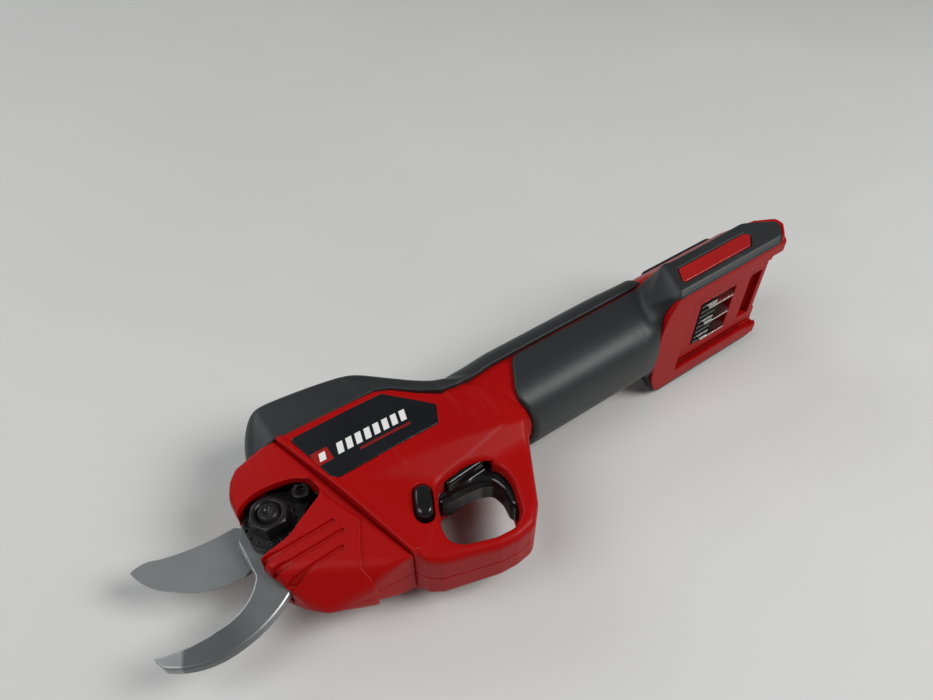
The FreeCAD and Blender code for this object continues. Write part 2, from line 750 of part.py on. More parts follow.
def battery_shoe():
    """The plate with two undercut rails that a battery pack slides onto from behind."""
    shoe = body("battery_shoe")
    slab(shoe, "shoe_plate", "XY", -D.foot_side, D.foot_side,
         polygon([(D.foot_front, D.foot_low), (256.0, D.foot_low), (D.foot_rear, -15.0),
                  (D.foot_rear, D.shoe_top), (D.foot_front, D.shoe_top)]))
    slab(shoe, "shoe_front_edge", "XY", -SHOE_FRONT_SIDE, SHOE_FRONT_SIDE,
         polygon([(D.shoe_front, D.foot_low), (D.foot_front + 1.0, D.foot_low),
                  (D.foot_front + 1.0, D.shoe_top), (D.shoe_front, D.shoe_top)]))
    slab(shoe, "shoe_channel", "XY", -RAIL_INSIDE, RAIL_INSIDE,
         polygon([(197.0, -20.0), (262.0, -20.0), (262.0, CHANNEL_FLOOR),
                  (197.0, CHANNEL_FLOOR)]), cut=True)
    for side in (1, -1):
        slab(shoe, "shoe_groove_%s" % ("left" if side > 0 else "right"), "XY",
             *mirrored(side, RAIL_INSIDE - 3.0, GROOVE_SIDE),
             polygon([(197.0, CHANNEL_FLOOR - 0.3), (262.0, CHANNEL_FLOOR - 0.3),
                      (262.0, GROOVE_TOP), (197.0, GROOVE_TOP)]), cut=True)
    slab(shoe, "shoe_terminal_recess", "XY", -13.4, 13.4,
         polygon([(208.0, -20.0), (231.0, -20.0), (231.0, -10.0), (208.0, -10.0)]), cut=True)
    slab(shoe, "shoe_latch_pocket", "XY", -14.0, 14.0,
         polygon([(241.0, -20.0), (249.0, -20.0), (249.0, -11.8), (241.0, -11.8)]), cut=True)
    return shoe


def terminals():
    block = body("terminal_block")
    slab(block, "terminal_base", "XY", -13.0, 13.0,
         polygon([(208.3, -12.2), (208.3, -5.0), (230.7, -5.0), (230.7, -8.6), (219.5, -8.6),
                  (219.5, -12.2)]))
    for number in range(8):
        level = -12.25 + number * 3.3
        slab(block, "terminal_rib_%d" % number, "XY", level, level + 1.4,
             polygon([(208.3, -15.2), (218.3, -15.2), (219.5, -14.0), (219.5, -12.2),
                      (208.3, -12.2)]))
    for number, level in enumerate(CONTACT_LEVELS):
        slab(block, "terminal_gap_%d" % number, "XY", level - 0.45, level + 0.45,
             polygon([(211.5, -20.0), (211.5, -6.8), (232.0, -6.8), (232.0, -20.0)]),
             cut=True)
    blades = []
    for level in CONTACT_LEVELS:
        corners = [(212.0, -7.0), (229.5, -7.0), (229.5, -14.8), (228.0, -16.4),
                   (212.0, -16.4), (212.0, -7.0)]
        wire = Part.makePolygon([Vector(x, y, level - 0.4) for x, y in corners])
        blades.append(Part.Face(wire).extrude(Vector(0, 0, 0.8)))
    solid("terminal_blades", Part.makeCompound(blades))


# ---------------------------------------------------------------- blades and pivot
def hook_blade():
    """Fixed lower blade: a hook in front, a tail screwed to the gear case behind."""
    blade = body("hook_blade")
    outline = curve([
        (-11.4, 4.6),
        ((-14.2, -2.0), (-13.6, -10.0)),
        (-13.4, -14.0),
        ((-19.0, -20.6), (-31.0, -24.4)),
        ((-42.0, -24.2), (D.hook_tip.value, -21.4)),
        (-50.9, -26.8),
        ((-40.0, -32.9), (-29.0, -34.1)),
        ((-16.0, -31.5), (-5.2, -26.0)),
        (2.0, -24.0),
        (23.0, -24.0),
        (24.5, -13.0),
        (10.4, -10.4),
        (10.4, -5.0),
        (12.6, 1.0),
        ((17.4, 3.4), (13.0, 6.8)),
        (9.0, 8.2),
        ((0.0, 12.2), (-9.6, 7.6)),
    ])
    slab(blade, "hook_plate", "XY", D.hook_low, D.hook_high, outline)
    holes = [circle(x, y, 2.0) for x, y in HOOK_SCREWS + [(LOCK_SCREW_X, LOCK_SCREW_Y)]]
    slab(blade, "hook_holes", "XY", D.hook_low, D.hook_high,
         circle(0.0, 0.0, D.pivot_radius + 0.05), *holes, cut=True)
    return blade


def moving_blade():
    """Upper blade with its round hub; it turns about the pivot bolt."""
    blade = body("moving_blade")
    outline = curve([
        (-9.0, 8.67),
        (-12.0, 10.9),
        ((-28.0, 11.9), (-40.0, 14.8)),
        ((-46.4, 16.3), (D.blade_tip.value, 15.2)),
        ((-47.7, 7.6), (-40.0, -1.0)),
        ((-30.0, -7.7), (-17.5, -10.3)),
        (-10.2, -7.22),
    ])
    slab(blade, "blade_plate", "XY", D.blade_low, D.blade_high, outline)
    slab(blade, "blade_hub", "XY", D.blade_low, D.blade_high, circle(0.0, 0.0, D.hub_radius))
    pins = [circle(x, y, 1.5) for x, y in sector_pin_spots()]
    slab(blade, "blade_holes", "XY", D.blade_low, D.blade_high, circle(0.0, 0.0, 6.0), *pins,
         cut=True)
    return blade


def sector_pin_spots():
    turns = [math.radians(turn) for turn in (-48.0, -18.0, 12.0)]
    return [(9.3 * math.cos(turn), 9.3 * math.sin(turn)) for turn in turns]


def pivot_parts():
    bolt = body("pivot_bolt")
    slab(bolt, "bolt_head", "XY", -14.4, -9.9, hexagon(0.0, 0.0, D.nut_flat))
    slab(bolt, "bolt_shank", "XY", -9.9, D.nut_high + 1.0, circle(0.0, 0.0, D.pivot_radius))
    nut = body("pivot_nut")
    slab(nut, "nut_body", "XY", D.nut_low, D.nut_high, hexagon(0.0, 0.0, D.nut_flat),
         circle(0.0, 0.0, D.pivot_radius))
    bush = body("pivot_bush")
    slab(bush, "bush_tube", "XY", -9.6, D.blade_high, circle(0.0, 0.0, 6.0),
         circle(0.0, 0.0, D.pivot_radius + 0.03))
    plate = body("lock_plate")
    slab(plate, "plate_body", "XY", D.hook_high + 0.1, D.nut_low - 0.1, curve([
        (-9.6, 4.6),
        ((-1.0, 11.6), (9.0, 9.4)),
        (15.2, 7.4),
        ((17.7, 3.9), (15.4, 0.2)),
        (6.2, -8.2),
        ((-3.0, -10.9), (-9.9, -4.6)),
    ]))
    slab(plate, "plate_holes", "XY", D.hook_high, D.nut_low, circle(0.0, 0.0, 4.05),
         circle(LOCK_SCREW_X, LOCK_SCREW_Y, 2.05), cut=True)
    screw = body("lock_screw")
    slab(screw, "lock_screw_shank", "XY", D.hook_low + 0.2, D.nut_low,
         circle(LOCK_SCREW_X, LOCK_SCREW_Y, 2.0))
    slab(screw, "lock_screw_head", "XY", D.nut_low, D.nut_low + 4.0,
         circle(LOCK_SCREW_X, LOCK_SCREW_Y, 3.5))
    slab(screw, "lock_screw_socket", "XY", D.nut_low + 1.8, D.nut_low + 5.0,
         hexagon(LOCK_SCREW_X, LOCK_SCREW_Y, as_dim(3.0)), cut=True)
    pieces = []
    for x, y in HOOK_SCREWS:
        shank = Part.makeCylinder(2.0, 5.3, Vector(x, y, 1.1))
        head = Part.makeCylinder(3.4, 1.4, Vector(x, y, 6.4))
        pieces.append(shank.fuse(head).removeSplitter())
    solid("hook_screws", Part.makeCompound(pieces))


# ---------------------------------------------------------------- gears
def involute(angle):
    return math.tan(angle) - angle


def tooth_ring(teeth, module, pressure, above, below, slack, phase):
    """Points round a gear's outline, as (radius, angle), one involute tooth after another."""
    pitch = teeth * module / 2.0
    base = pitch * math.cos(pressure)
    half_pitch = math.pi / (2.0 * teeth) - slack / pitch
    root, tip = pitch - below, pitch + above
    steps = 6
    flank = [(root, half_pitch + involute(pressure))] if root < base else []
    low = max(root, base)
    for step in range(steps + 1):
        radius = low + (tip - low) * step / steps
        lean = involute(math.acos(min(1.0, base / radius)))
        flank.append((radius, half_pitch + involute(pressure) - lean))
    ring = []
    for number in range(teeth):
        middle = phase + 2.0 * math.pi * number / teeth
        ring += [(radius, middle - half) for radius, half in flank]
        ring += [(radius, middle + half) for radius, half in reversed(flank)]
    return ring


def across(ring, x, y, level, scale=1.0):
    """A closed wire across the tool through a gear outline centred at (y, level)."""
    points = [
        Vector(x, y + radius * scale * math.cos(turn), level + radius * scale * math.sin(turn))
        for radius, turn in ring
    ]
    return Part.makePolygon(points + points[:1])


def disc(x, length, radius, y=0.0, level=None):
    level = LEVEL if level is None else level
    return Part.makeCylinder(radius, length, Vector(x, y, level), Vector(1, 0, 0))


LEVEL = D.drive_level.value
MODULE = D.gear_module.value
FACE = D.gear_face.value
PRESSURE = math.radians(25.0)
SUN_TEETH, PLANET_TEETH, RING_TEETH = 12, 15, 42
PINION_TEETH, SECTOR_TEETH = 10, 32
PLANETS = 3
CENTRES = (SUN_TEETH + PLANET_TEETH) * MODULE / 2.0
SLACK = 0.05
PLANET_PIN = 1.2


def spur(teeth, x, y, level, phase):
    ring = tooth_ring(teeth, MODULE, PRESSURE, 0.9 * MODULE, 1.2 * MODULE, SLACK, phase)
    return Part.Face(across(ring, x, y, level)).extrude(Vector(FACE, 0, 0))


def planet_spots():
    turns = [2.0 * math.pi * number / PLANETS for number in range(PLANETS)]
    return [(turn, CENTRES * math.cos(turn), LEVEL + CENTRES * math.sin(turn)) for turn in turns]


def planets(stage, x):
    """Three planet gears, each turned so that it meshes with the sun and the ring."""
    for number, (turn, y, level) in enumerate(planet_spots(), start=1):
        phase = turn + math.pi - math.pi / PLANET_TEETH
        gear = spur(PLANET_TEETH, x, y, level, phase)
        bore = disc(x - 1.0, FACE + 2.0, PLANET_PIN + 0.03, y, level)
        solid("%s_planet_%d" % (stage, number), gear.cut(bore))


def ring_gear():
    ring = tooth_ring(RING_TEETH, MODULE, PRESSURE, 1.2 * MODULE, 0.75 * MODULE, -SLACK, 0.0)
    front = D.stage_two.value - 0.3
    length = D.stage_one.value + FACE + 0.5 - front
    inside = Part.Face(across(ring, front, 0.0, LEVEL)).extrude(Vector(length, 0, 0))
    solid("ring_gear", disc(front, length, 15.2).cut(inside))


def carriers():
    front = D.stage_two.value
    plate = disc(front - 3.4, 2.8, 10.6)
    shaft = disc(17.6, front - 3.4 - 17.6, 3.0)
    pins = [disc(front - 1.0, FACE + 1.3, PLANET_PIN, y, z) for _, y, z in planet_spots()]
    solid("output_carrier", plate.fuse([shaft] + pins).removeSplitter())
    front = D.stage_one.value
    plate = disc(front - 3.5, 2.8, 10.6)
    sun = spur(SUN_TEETH, D.stage_two.value, 0.0, LEVEL, 0.0)
    neck = disc(D.stage_two.value + FACE - 0.1, front - 3.4 - D.stage_two.value - FACE, 2.7)
    pins = [disc(front - 1.0, FACE + 1.3, PLANET_PIN, y, z) for _, y, z in planet_spots()]
    solid("first_carrier", plate.fuse([sun, neck] + pins).removeSplitter())


def gear_case():
    case = body("gear_case")
    slab(case, "case_front", "YZ", 27.4, 34.4, circle(0.0, D.drive_level, D.case_radius),
         circle(0.0, D.drive_level, 9.5))
    slab(case, "case_tube", "YZ", 34.4, D.stage_one + FACE + 1.4,
         circle(0.0, D.drive_level, D.case_radius), circle(0.0, D.drive_level, 15.2))
    slab(case, "case_arm", "XY", 5.2, 7.8,
         polygon([(6.5, -13.2), (30.0, -11.4), (30.0, -15.6), (22.0, -23.6), (6.5, -23.6)]))
    slab(case, "arm_screw_holes", "XY", 5.2, 7.8, *[circle(x, y, 2.0) for x, y in HOOK_SCREWS],
         cut=True)
    slab(case, "arm_screw_seats", "XY", 6.4, 7.8, *[circle(x, y, 3.4) for x, y in HOOK_SCREWS],
         cut=True)
    rod("output_bearing", 27.6, 9.5, 6.0, level=D.drive_level, bore=3.03)


BEVEL_SLACK = 0.1


def bevel_pinion():
    """Small bevel gear on the output shaft; its cone's point is on the pivot axis."""
    module = D.bevel_module.value
    radius = D.bevel_radius.value
    inner = (radius - D.bevel_face.value) / radius
    ring = tooth_ring(PINION_TEETH, module, PRESSURE, 0.9 * module, 1.1 * module, BEVEL_SLACK,
                      -math.pi / 2.0)
    ends = [across(ring, radius * scale, 0.0, LEVEL, scale) for scale in (inner, 1.0)]
    teeth = Part.makeLoft(ends, True, True)
    hub = disc(radius - 0.5, 2.4, 5.0)
    solid("bevel_pinion", teeth.fuse(hub).cut(disc(10.0, 30.0, 3.0)).removeSplitter())


def bevel_sector():
    """Part of a large bevel gear under the moving blade, fixed to it by three pins."""
    module = D.bevel_module.value
    radius = D.bevel_radius.value
    inner = radius - D.bevel_face.value
    floor, top, underside = -8.1, D.blade_low.value, -9.6
    first, last = math.radians(-57.0), math.radians(21.0)

    def fan(reach, low, high):
        middle = (first + last) / 2.0
        ends = [Vector(reach * math.cos(t), reach * math.sin(t), low) for t in (first, middle, last)]
        heart = Vector(0, 0, low)
        edges = [Part.LineSegment(heart, ends[0]), Part.Arc(*ends), Part.LineSegment(ends[2], heart)]
        face = Part.Face(Part.Wire([edge.toShape() for edge in edges]))
        return face.extrude(Vector(0, 0, high - low))

    def tooth(turn):
        ends = []
        for reach in (inner, radius):
            share = reach / radius
            pitch_level = LEVEL - module * PINION_TEETH / 2.0 * share
            half = (module * math.pi / 4.0 - BEVEL_SLACK) * share
            peak = pitch_level + 0.9 * module * share
            wide = half + (pitch_level - floor + 0.2) * math.tan(PRESSURE)
            narrow = half - (peak - pitch_level) * math.tan(PRESSURE)
            corners = [(-wide, floor - 0.2), (wide, floor - 0.2), (narrow, peak), (-narrow, peak)]
            points = [Vector(reach, y, z) for y, z in corners]
            ends.append(Part.makePolygon(points + points[:1]))
        shape = Part.makeLoft(ends, True, True)
        shape.rotate(Vector(0, 0, 0), Vector(0, 0, 1), math.degrees(turn))
        return shape

    step = 2.0 * math.pi / SECTOR_TEETH
    teeth = [tooth((number + 0.5) * step) for number in range(-5, 2)]
    hub = Part.makeCylinder(7.2, top - underside, Vector(0, 0, underside))
    plate = fan(radius + 1.0, underside, floor)
    raised = fan(12.2, floor - 0.1, top)
    shape = plate.fuse([raised, hub] + teeth)
    bores = [Part.makeCylinder(6.0, 20.0, Vector(0, 0, -12.0))]
    bores += [Part.makeCylinder(1.5, 20.0, Vector(x, y, -12.0)) for x, y in sector_pin_spots()]
    solid("bevel_sector", shape.cut(Part.makeCompound(bores)).removeSplitter())
    length = D.blade_high.value - underside
    pins = [Part.makeCylinder(1.5, length, Vector(x, y, underside)) for x, y in sector_pin_spots()]
    solid("sector_pins", Part.makeCompound(pins))


# ---------------------------------------------------------------- motor
def motor():
    level = D.drive_level
    can = body("motor_can")
    slab(can, "can_tube", "YZ", D.motor_front, D.motor_rear, circle(0.0, level, D.motor_radius),
         circle(0.0, level, D.motor_radius - 1.2))
    for name, front, rear in (("can_front", D.motor_front, D.motor_front + 3.0),
                              ("can_back", D.motor_rear - 3.0, D.motor_rear)):
        slab(can, name, "YZ", front, rear, circle(0.0, level, D.motor_radius - 1.2),
             circle(0.0, level, 4.0))
    rod("motor_stator", D.motor_front + 6.0, D.motor_radius - 1.2, 20.0, level=level, bore=7.8)
    bearings = []
    for x in (D.motor_front.value, D.motor_rear.value - 3.0):
        bearings.append(disc(x, 3.0, 4.0).cut(disc(x - 1.0, 5.0, 1.62)))
    solid("motor_bearings", Part.makeCompound(bearings))
    rod("rotor_magnet", D.motor_front + 6.5, 7.2, 19.0, level=level, bore=1.6)
    shaft_front = D.stage_one
    rod("motor_shaft", shaft_front, 1.6, D.motor_rear + 1.0 - shaft_front, level=level)
    sun = spur(SUN_TEETH, D.stage_one.value, 0.0, LEVEL, 0.0)
    solid("sun_gear", sun.cut(disc(40.0, 30.0, 1.6)))


# ---------------------------------------------------------------- controls and electrics
def trigger():
    """Finger lever on a pin at its front, with a tail that hooks down the guard."""
    lever = body("trigger")
    slab(lever, "trigger_plate", "XY", -D.trigger_side, D.trigger_side, polygon([
        (52.0, -17.9), (51.4, -23.6), (54.6, -26.2), (66.0, -27.0), (73.0, -28.2),
        (77.4, -31.4), (78.3, -37.0), (76.9, -43.0), (77.8, -45.6), (80.6, -44.4),
        (82.6, -38.0), (83.0, -30.0), (86.0, -24.6), (96.5, -24.0), (96.5, -20.6),
        (80.0, -19.4), (62.0, -17.9),
    ]))
    slab(lever, "trigger_bore", "XY", -D.trigger_side, D.trigger_side,
         circle(D.trigger_x, D.trigger_y, 1.55), cut=True)
    slab(lever, "trigger_wings", "XY", -TRIGGER_WING, TRIGGER_WING,
         polygon([(60.2, -21.4), (78.5, -20.9), (78.5, -24.9), (71.0, -25.2), (60.2, -26.0)]))
    pin_piece = body("trigger_pin")
    slab(pin_piece, "trigger_pin_rod", "XY", -10.4, 10.4, circle(D.trigger_x, D.trigger_y, 1.5))


def trigger_spring():
    """Torsion spring coiled round the trigger pin, beside the lever."""
    wire = 0.35
    coil = Part.makeHelix(0.9, 2.7, 2.6)
    start = Vector(2.6, 0, 0)
    profile = Part.Wire([Part.Circle(start, Vector(0, 1, 0), wire).toShape()])
    shape = Part.Wire(coil.Edges).makePipeShell([profile], True, True)
    spot = Vector(D.trigger_x.value, D.trigger_y.value, -D.trigger_side.value - 3.1)
    solid("trigger_spring", Part.makeCompound([shape.translated(spot)]))


def lock_bolt():
    """Cross-bolt: pushed in from the left it blocks the trigger."""
    bolt = body("lock_bolt")
    slab(bolt, "lock_head", "XY", LOCK_HEAD_LOW, LOCK_HEAD_HIGH,
         capsule(LOCK_X, LOCK_Y, LOCK_REACH, LOCK_HALF))
    slab(bolt, "lock_shaft", "XY", -13.0, LOCK_HEAD_LOW, circle(LOCK_X, LOCK_Y, LOCK_SHAFT))


def box(label, corner, size):
    block = doc.addObject("Part::Box", label)
    for path, length in zip(("Length", "Width", "Height"), size):
        bind(block, path, length)
    block.Label = label
    for axis, start, shift in zip("xyz", corner, SHIFT):
        bind(block, "Placement.Base." + axis, as_dim(start) + shift)
    PIECES.append(block)
    return block


def panel():
    """Raised control panel on the back of the foot, with the power button through it."""
    plate = body("switch_panel")
    slab(plate, "panel_plate", "XY", -8.8, 8.8, polygon([
        (206.0, D.handle_top), (254.0, D.handle_top), (251.0, 22.2), (218.0, 22.4),
        (206.0, 22.6),
    ]))
    slab(plate, "panel_button_hole", "XY", -4.4, 4.4,
         polygon([(207.6, 15.0), (218.6, 15.0), (218.6, 26.0), (207.6, 26.0)]), cut=True)
    button = body("power_button")
    slab(button, "button_cap", "XY", -4.0, 4.0, polygon([
        (208.0, 15.4), (218.2, 15.4), (218.2, 23.0), (216.0, 24.2), (210.5, 24.2),
        (208.0, 23.0),
    ]))
    window = body("status_window")
    slab(window, "window_strip", "XY", -2.5, 2.5,
         polygon([(226.0, 22.4), (246.0, 22.3), (246.0, 22.8), (226.0, 22.9)]))


def lead(points, radius):
    """A round wire through the points, with ball corners."""
    spots = [Vector(*point) for point in points]
    shape = None
    for here, after in zip(spots, spots[1:]):
        run = after - here
        piece = Part.makeCylinder(radius, run.Length, here, run)
        shape = piece if shape is None else shape.fuse(piece)
    for corner in spots[1:-1]:
        shape = shape.fuse(Part.makeSphere(radius, corner))
    return shape.removeSplitter()


def electrics():
    box("control_board", (22.0, 24.2, -11.0), (33.0, 1.6, 22.0))
    capacitor = body("board_capacitor")
    slab(capacitor, "capacitor_can", "YZ", 28.0, 46.0, circle(30.0, 0.0, 4.0))
    box("rear_board", (206.0, 11.0, -9.0), (32.0, 1.4, 18.0))
    box("sensor_board", (91.2, -14.4, -5.0), (8.0, 1.2, 10.0))
    tact = body("button_switch")
    slab(tact, "button_switch_body", "XY", -3.0, 3.0,
         polygon([(210.0, 12.4), (216.0, 12.4), (216.0, 14.0), (210.0, 14.0)]))
    runs = []
    for number in range(2):
        y = 2.0 + 3.4 * number
        z_foot = -4.0 + 8.0 * number
        runs.append(lead([
            (214.0 + 4.0 * number, -4.9, z_foot), (214.0 + 4.0 * number, y, z_foot),
            (110.0, y, z_foot), (94.0, y, -13.2), (61.2, y, -13.2),
            (61.2, 20.0 + 2.8 * number, -13.2), (52.0 - 3.0 * number, 22.8, -10.0),
        ], 1.1))
    solid("battery_leads", Part.makeCompound(runs))
    phases = []
    for number in range(3):
        z = LEVEL - 3.0 + 3.0 * number
        phases.append(lead([(60.8, 13.55, z), (60.8, 19.0, z), (50.0, 23.3, z)], 0.7))
    solid("motor_leads", Part.makeCompound(phases))


# ---------------------------------------------------------------- the whole tool
for half in (1, -1):
    front_cover(half)
    housing(half)
    side_grip(half)
    foot_trim(half)
top_grip()
battery_shoe()
terminals()
hook_blade()
moving_blade()
pivot_parts()
bevel_sector()
bevel_pinion()
carriers()
planets("output", D.stage_two.value)
planets("first", D.stage_one.value)
ring_gear()
gear_case()
motor()
trigger()
trigger_spring()
lock_bolt()
panel()
electrics()
screw_group("housing_screws", POST_SPOTS + [GUARD_SCREW], SCREW_SEAT)
screw_group("cover_screws", COVER_SPOTS, COVER_SCREW_SEAT)

doc.recompute()
for thing in doc.Objects:
    if "Invalid" in thing.State or "Error" in thing.State:
        raise RuntimeError("%s is in error" % thing.Label)
os.makedirs("parts", exist_ok=True)
for piece in PIECES:
    shape = piece.Shape
    if shape.isNull() or not shape.isValid():
        raise RuntimeError("%s has no valid shape" % piece.Label)
    shape.exportStep("parts/%s.step" % piece.Label)
print("%d pieces" % len(PIECES))
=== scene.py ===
import json
import math

import bpy
import numpy as np
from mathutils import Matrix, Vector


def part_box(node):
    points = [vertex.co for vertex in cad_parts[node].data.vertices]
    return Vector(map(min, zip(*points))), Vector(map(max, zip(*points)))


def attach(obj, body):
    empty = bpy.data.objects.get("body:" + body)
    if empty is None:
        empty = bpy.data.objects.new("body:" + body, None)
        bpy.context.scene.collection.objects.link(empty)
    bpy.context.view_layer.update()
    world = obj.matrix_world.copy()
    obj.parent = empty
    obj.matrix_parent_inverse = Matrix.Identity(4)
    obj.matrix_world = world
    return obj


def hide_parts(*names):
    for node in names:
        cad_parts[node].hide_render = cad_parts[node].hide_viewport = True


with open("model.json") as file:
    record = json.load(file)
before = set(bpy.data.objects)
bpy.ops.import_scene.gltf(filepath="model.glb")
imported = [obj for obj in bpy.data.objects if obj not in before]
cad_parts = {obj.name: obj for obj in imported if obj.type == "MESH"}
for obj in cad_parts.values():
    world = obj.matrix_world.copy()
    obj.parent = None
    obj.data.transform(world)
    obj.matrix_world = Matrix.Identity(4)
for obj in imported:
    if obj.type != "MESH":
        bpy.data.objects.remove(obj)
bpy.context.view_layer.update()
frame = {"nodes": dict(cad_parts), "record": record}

import openvdb
from mathutils import Matrix, Vector

MM = 0.001
scene = bpy.context.scene
bolt_low, bolt_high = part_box("pivot_bolt")
ORIGIN = Vector(((bolt_low.x + bolt_high.x) / 2, (bolt_low.y + bolt_high.y) / 2,
                 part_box("housing_left")[0].z))


# ---- solids as distance fields
class Space:
    """A regular grid of points, in mm from the blade pivot and the parting plane."""

    def __init__(self, low, high, step):
        self.low, self.step = np.array(low, float), step
        count = np.ceil((np.array(high, float) - self.low) / step).astype(int) + 1
        lines = [(self.low[k] + step * np.arange(count[k])).astype(np.float32) for k in range(3)]
        self.shape = tuple(count)
        self.x = lines[0][:, None, None]
        self.y = lines[1][None, :, None]
        self.z = lines[2][None, None, :]


def join(a, b, blend=0.0):
    """Both shapes; the crease between them is filled over about the blend's width."""
    if not blend:
        return np.minimum(a, b)
    near = np.maximum(blend - np.abs(a - b), 0.0) / blend
    return np.minimum(a, b) - near * near * blend * 0.25


def meet(a, b, blend=0.0):
    """What both shapes share, its new edge eased over about the blend's width."""
    return -join(-a, -b, blend)


def carve(a, b, blend=0.0):
    return meet(a, -b, blend)


def unit(value):
    """The value, kept from 0 to 1."""
    return np.clip(value, 0.0, 1.0)


def eased(points, radius=0.0):
    """A closed outline with its corners eased; a point may carry its own radius."""
    result = []
    count = len(points)
    for k, point in enumerate(points):
        here = np.array(point[:2], float)
        before = np.array(points[k - 1][:2], float) - here
        after = np.array(points[(k + 1) % count][:2], float) - here
        size = point[2] if len(point) > 2 else radius
        long_before, long_after = np.hypot(*before), np.hypot(*after)
        cosine = before @ after / (long_before * long_after)
        half = 0.5 * math.acos(max(-1.0, min(1.0, cosine)))
        cut = min(size / math.tan(half), 0.47 * long_before, 0.47 * long_after)
        if cut < 0.02:
            result.append(tuple(here))
            continue
        start = here + before / long_before * cut
        end = here + after / long_after * cut
        for t in (0.0, 0.17, 0.34, 0.5, 0.66, 0.83, 1.0):
            spot = (1 - t) ** 2 * start + 2 * t * (1 - t) * here + t * t * end
            result.append(tuple(spot))
    return result


def outline(points, u, v):
    """Signed distance to a closed outline, over two coordinates of a space."""
    u, v = np.broadcast_arrays(u, v)
    best = np.full(u.shape, 1e9, np.float32)
    inside = np.zeros(u.shape, bool)
    for (x1, y1), (x2, y2) in zip(points, points[1:] + points[:1]):
        dx, dy = x2 - x1, y2 - y1
        span = dx * dx + dy * dy
        if span < 1e-9:
            continue
        t = unit(((u - x1) * dx + (v - y1) * dy) / span)
        best = np.minimum(best, (u - x1 - t * dx) ** 2 + (v - y1 - t * dy) ** 2)
        if dy:
            inside ^= ((y1 > v) != (y2 > v)) & (u < (v - y1) * dx / dy + x1)
    return np.where(inside, -1, 1) * np.sqrt(best)


def smooth_loop(points, steps=6):
    """A closed curve through the points."""
    p = np.array(points, float)
    count = len(p)
    result = []
    for k in range(count):
        a, b, c, d = p[k - 1], p[k], p[(k + 1) % count], p[(k + 2) % count]
        for t in np.arange(steps) / steps:
            spot = 0.5 * (2 * b + (c - a) * t + (2 * a - 5 * b + 4 * c - d) * t * t
                          + (3 * b - a - 3 * c + d) * t ** 3)
            result.append(tuple(spot))
    return result


def shape(s, points, radius=0.0):
    """Signed distance to an outline drawn in the tool's side view, its corners eased."""
    return outline(eased(points, radius), s.x, s.y)


def half_plane(point, way, u, v):
    """Negative on the side away from the direction (way), over two coordinates."""
    long = math.hypot(*way)
    return ((u - point[0]) * way[0] + (v - point[1]) * way[1]) / long


def disc(x, y, radius, space):
    return np.sqrt((space.x - x) ** 2 + (space.y - y) ** 2) - radius


def discs(spots, radius, s):
    """Round posts or holes at several spots."""
    result = disc(*spots[0], radius, s)
    for spot in spots[1:]:
        result = join(result, disc(*spot, radius, s))
    return result


def hexagon(s, half, turn=0.0, spot=(0.0, 0.0)):
    """A six-sided bar, half its width across the flats."""
    radius = np.hypot(s.x - spot[0], s.y - spot[1])
    angle = np.arctan2(s.y - spot[1], s.x - spot[0]) - turn
    return radius * np.cos((angle + math.pi / 6) % (math.pi / 3) - math.pi / 6) - half


def both(*fields):
    """What all the shapes share, with sharp edges."""
    result = fields[0]
    for field in fields[1:]:
        result = np.maximum(result, field)
    return result


def between(value, low, high):
    return both(low - value, value - high)


def steps_up(low, high, value):
    t = unit((value - low) / (high - low))
    return t * t * (3 - 2 * t)


def sampled(values, place):
    """The grid's values at places between its points."""
    base = np.clip(np.floor(place).astype(int), 0, np.array(values.shape) - 2)
    share = unit(place - base)
    total = 0.0
    for corner in np.ndindex(2, 2, 2):
        weight = np.prod(np.where(corner, share, 1.0 - share), axis=1)
        spot = base + np.array(corner)
        total = total + weight * values[spot[:, 0], spot[:, 1], spot[:, 2]]
    return total


def shade_by_field(mesh, space, values, mirror):
    """Give every vertex the direction in which the field grows there."""
    spots = np.zeros(len(mesh.vertices) * 3, np.float32)
    mesh.vertices.foreach_get("co", spots)
    flip = np.array((1.0, 1.0, -1.0 if mirror else 1.0))
    place = ((spots.reshape(-1, 3) - np.array(ORIGIN)) / MM * flip - space.low) / space.step
    normals = np.stack([sampled(values, place + 0.8 * way) - sampled(values, place - 0.8 * way)
                        for way in np.eye(3)], axis=1)
    long = np.linalg.norm(normals, axis=1, keepdims=True)
    normals = normals / np.maximum(long, 1e-9) * flip
    mesh.normals_split_custom_set_from_vertices(normals.tolist())


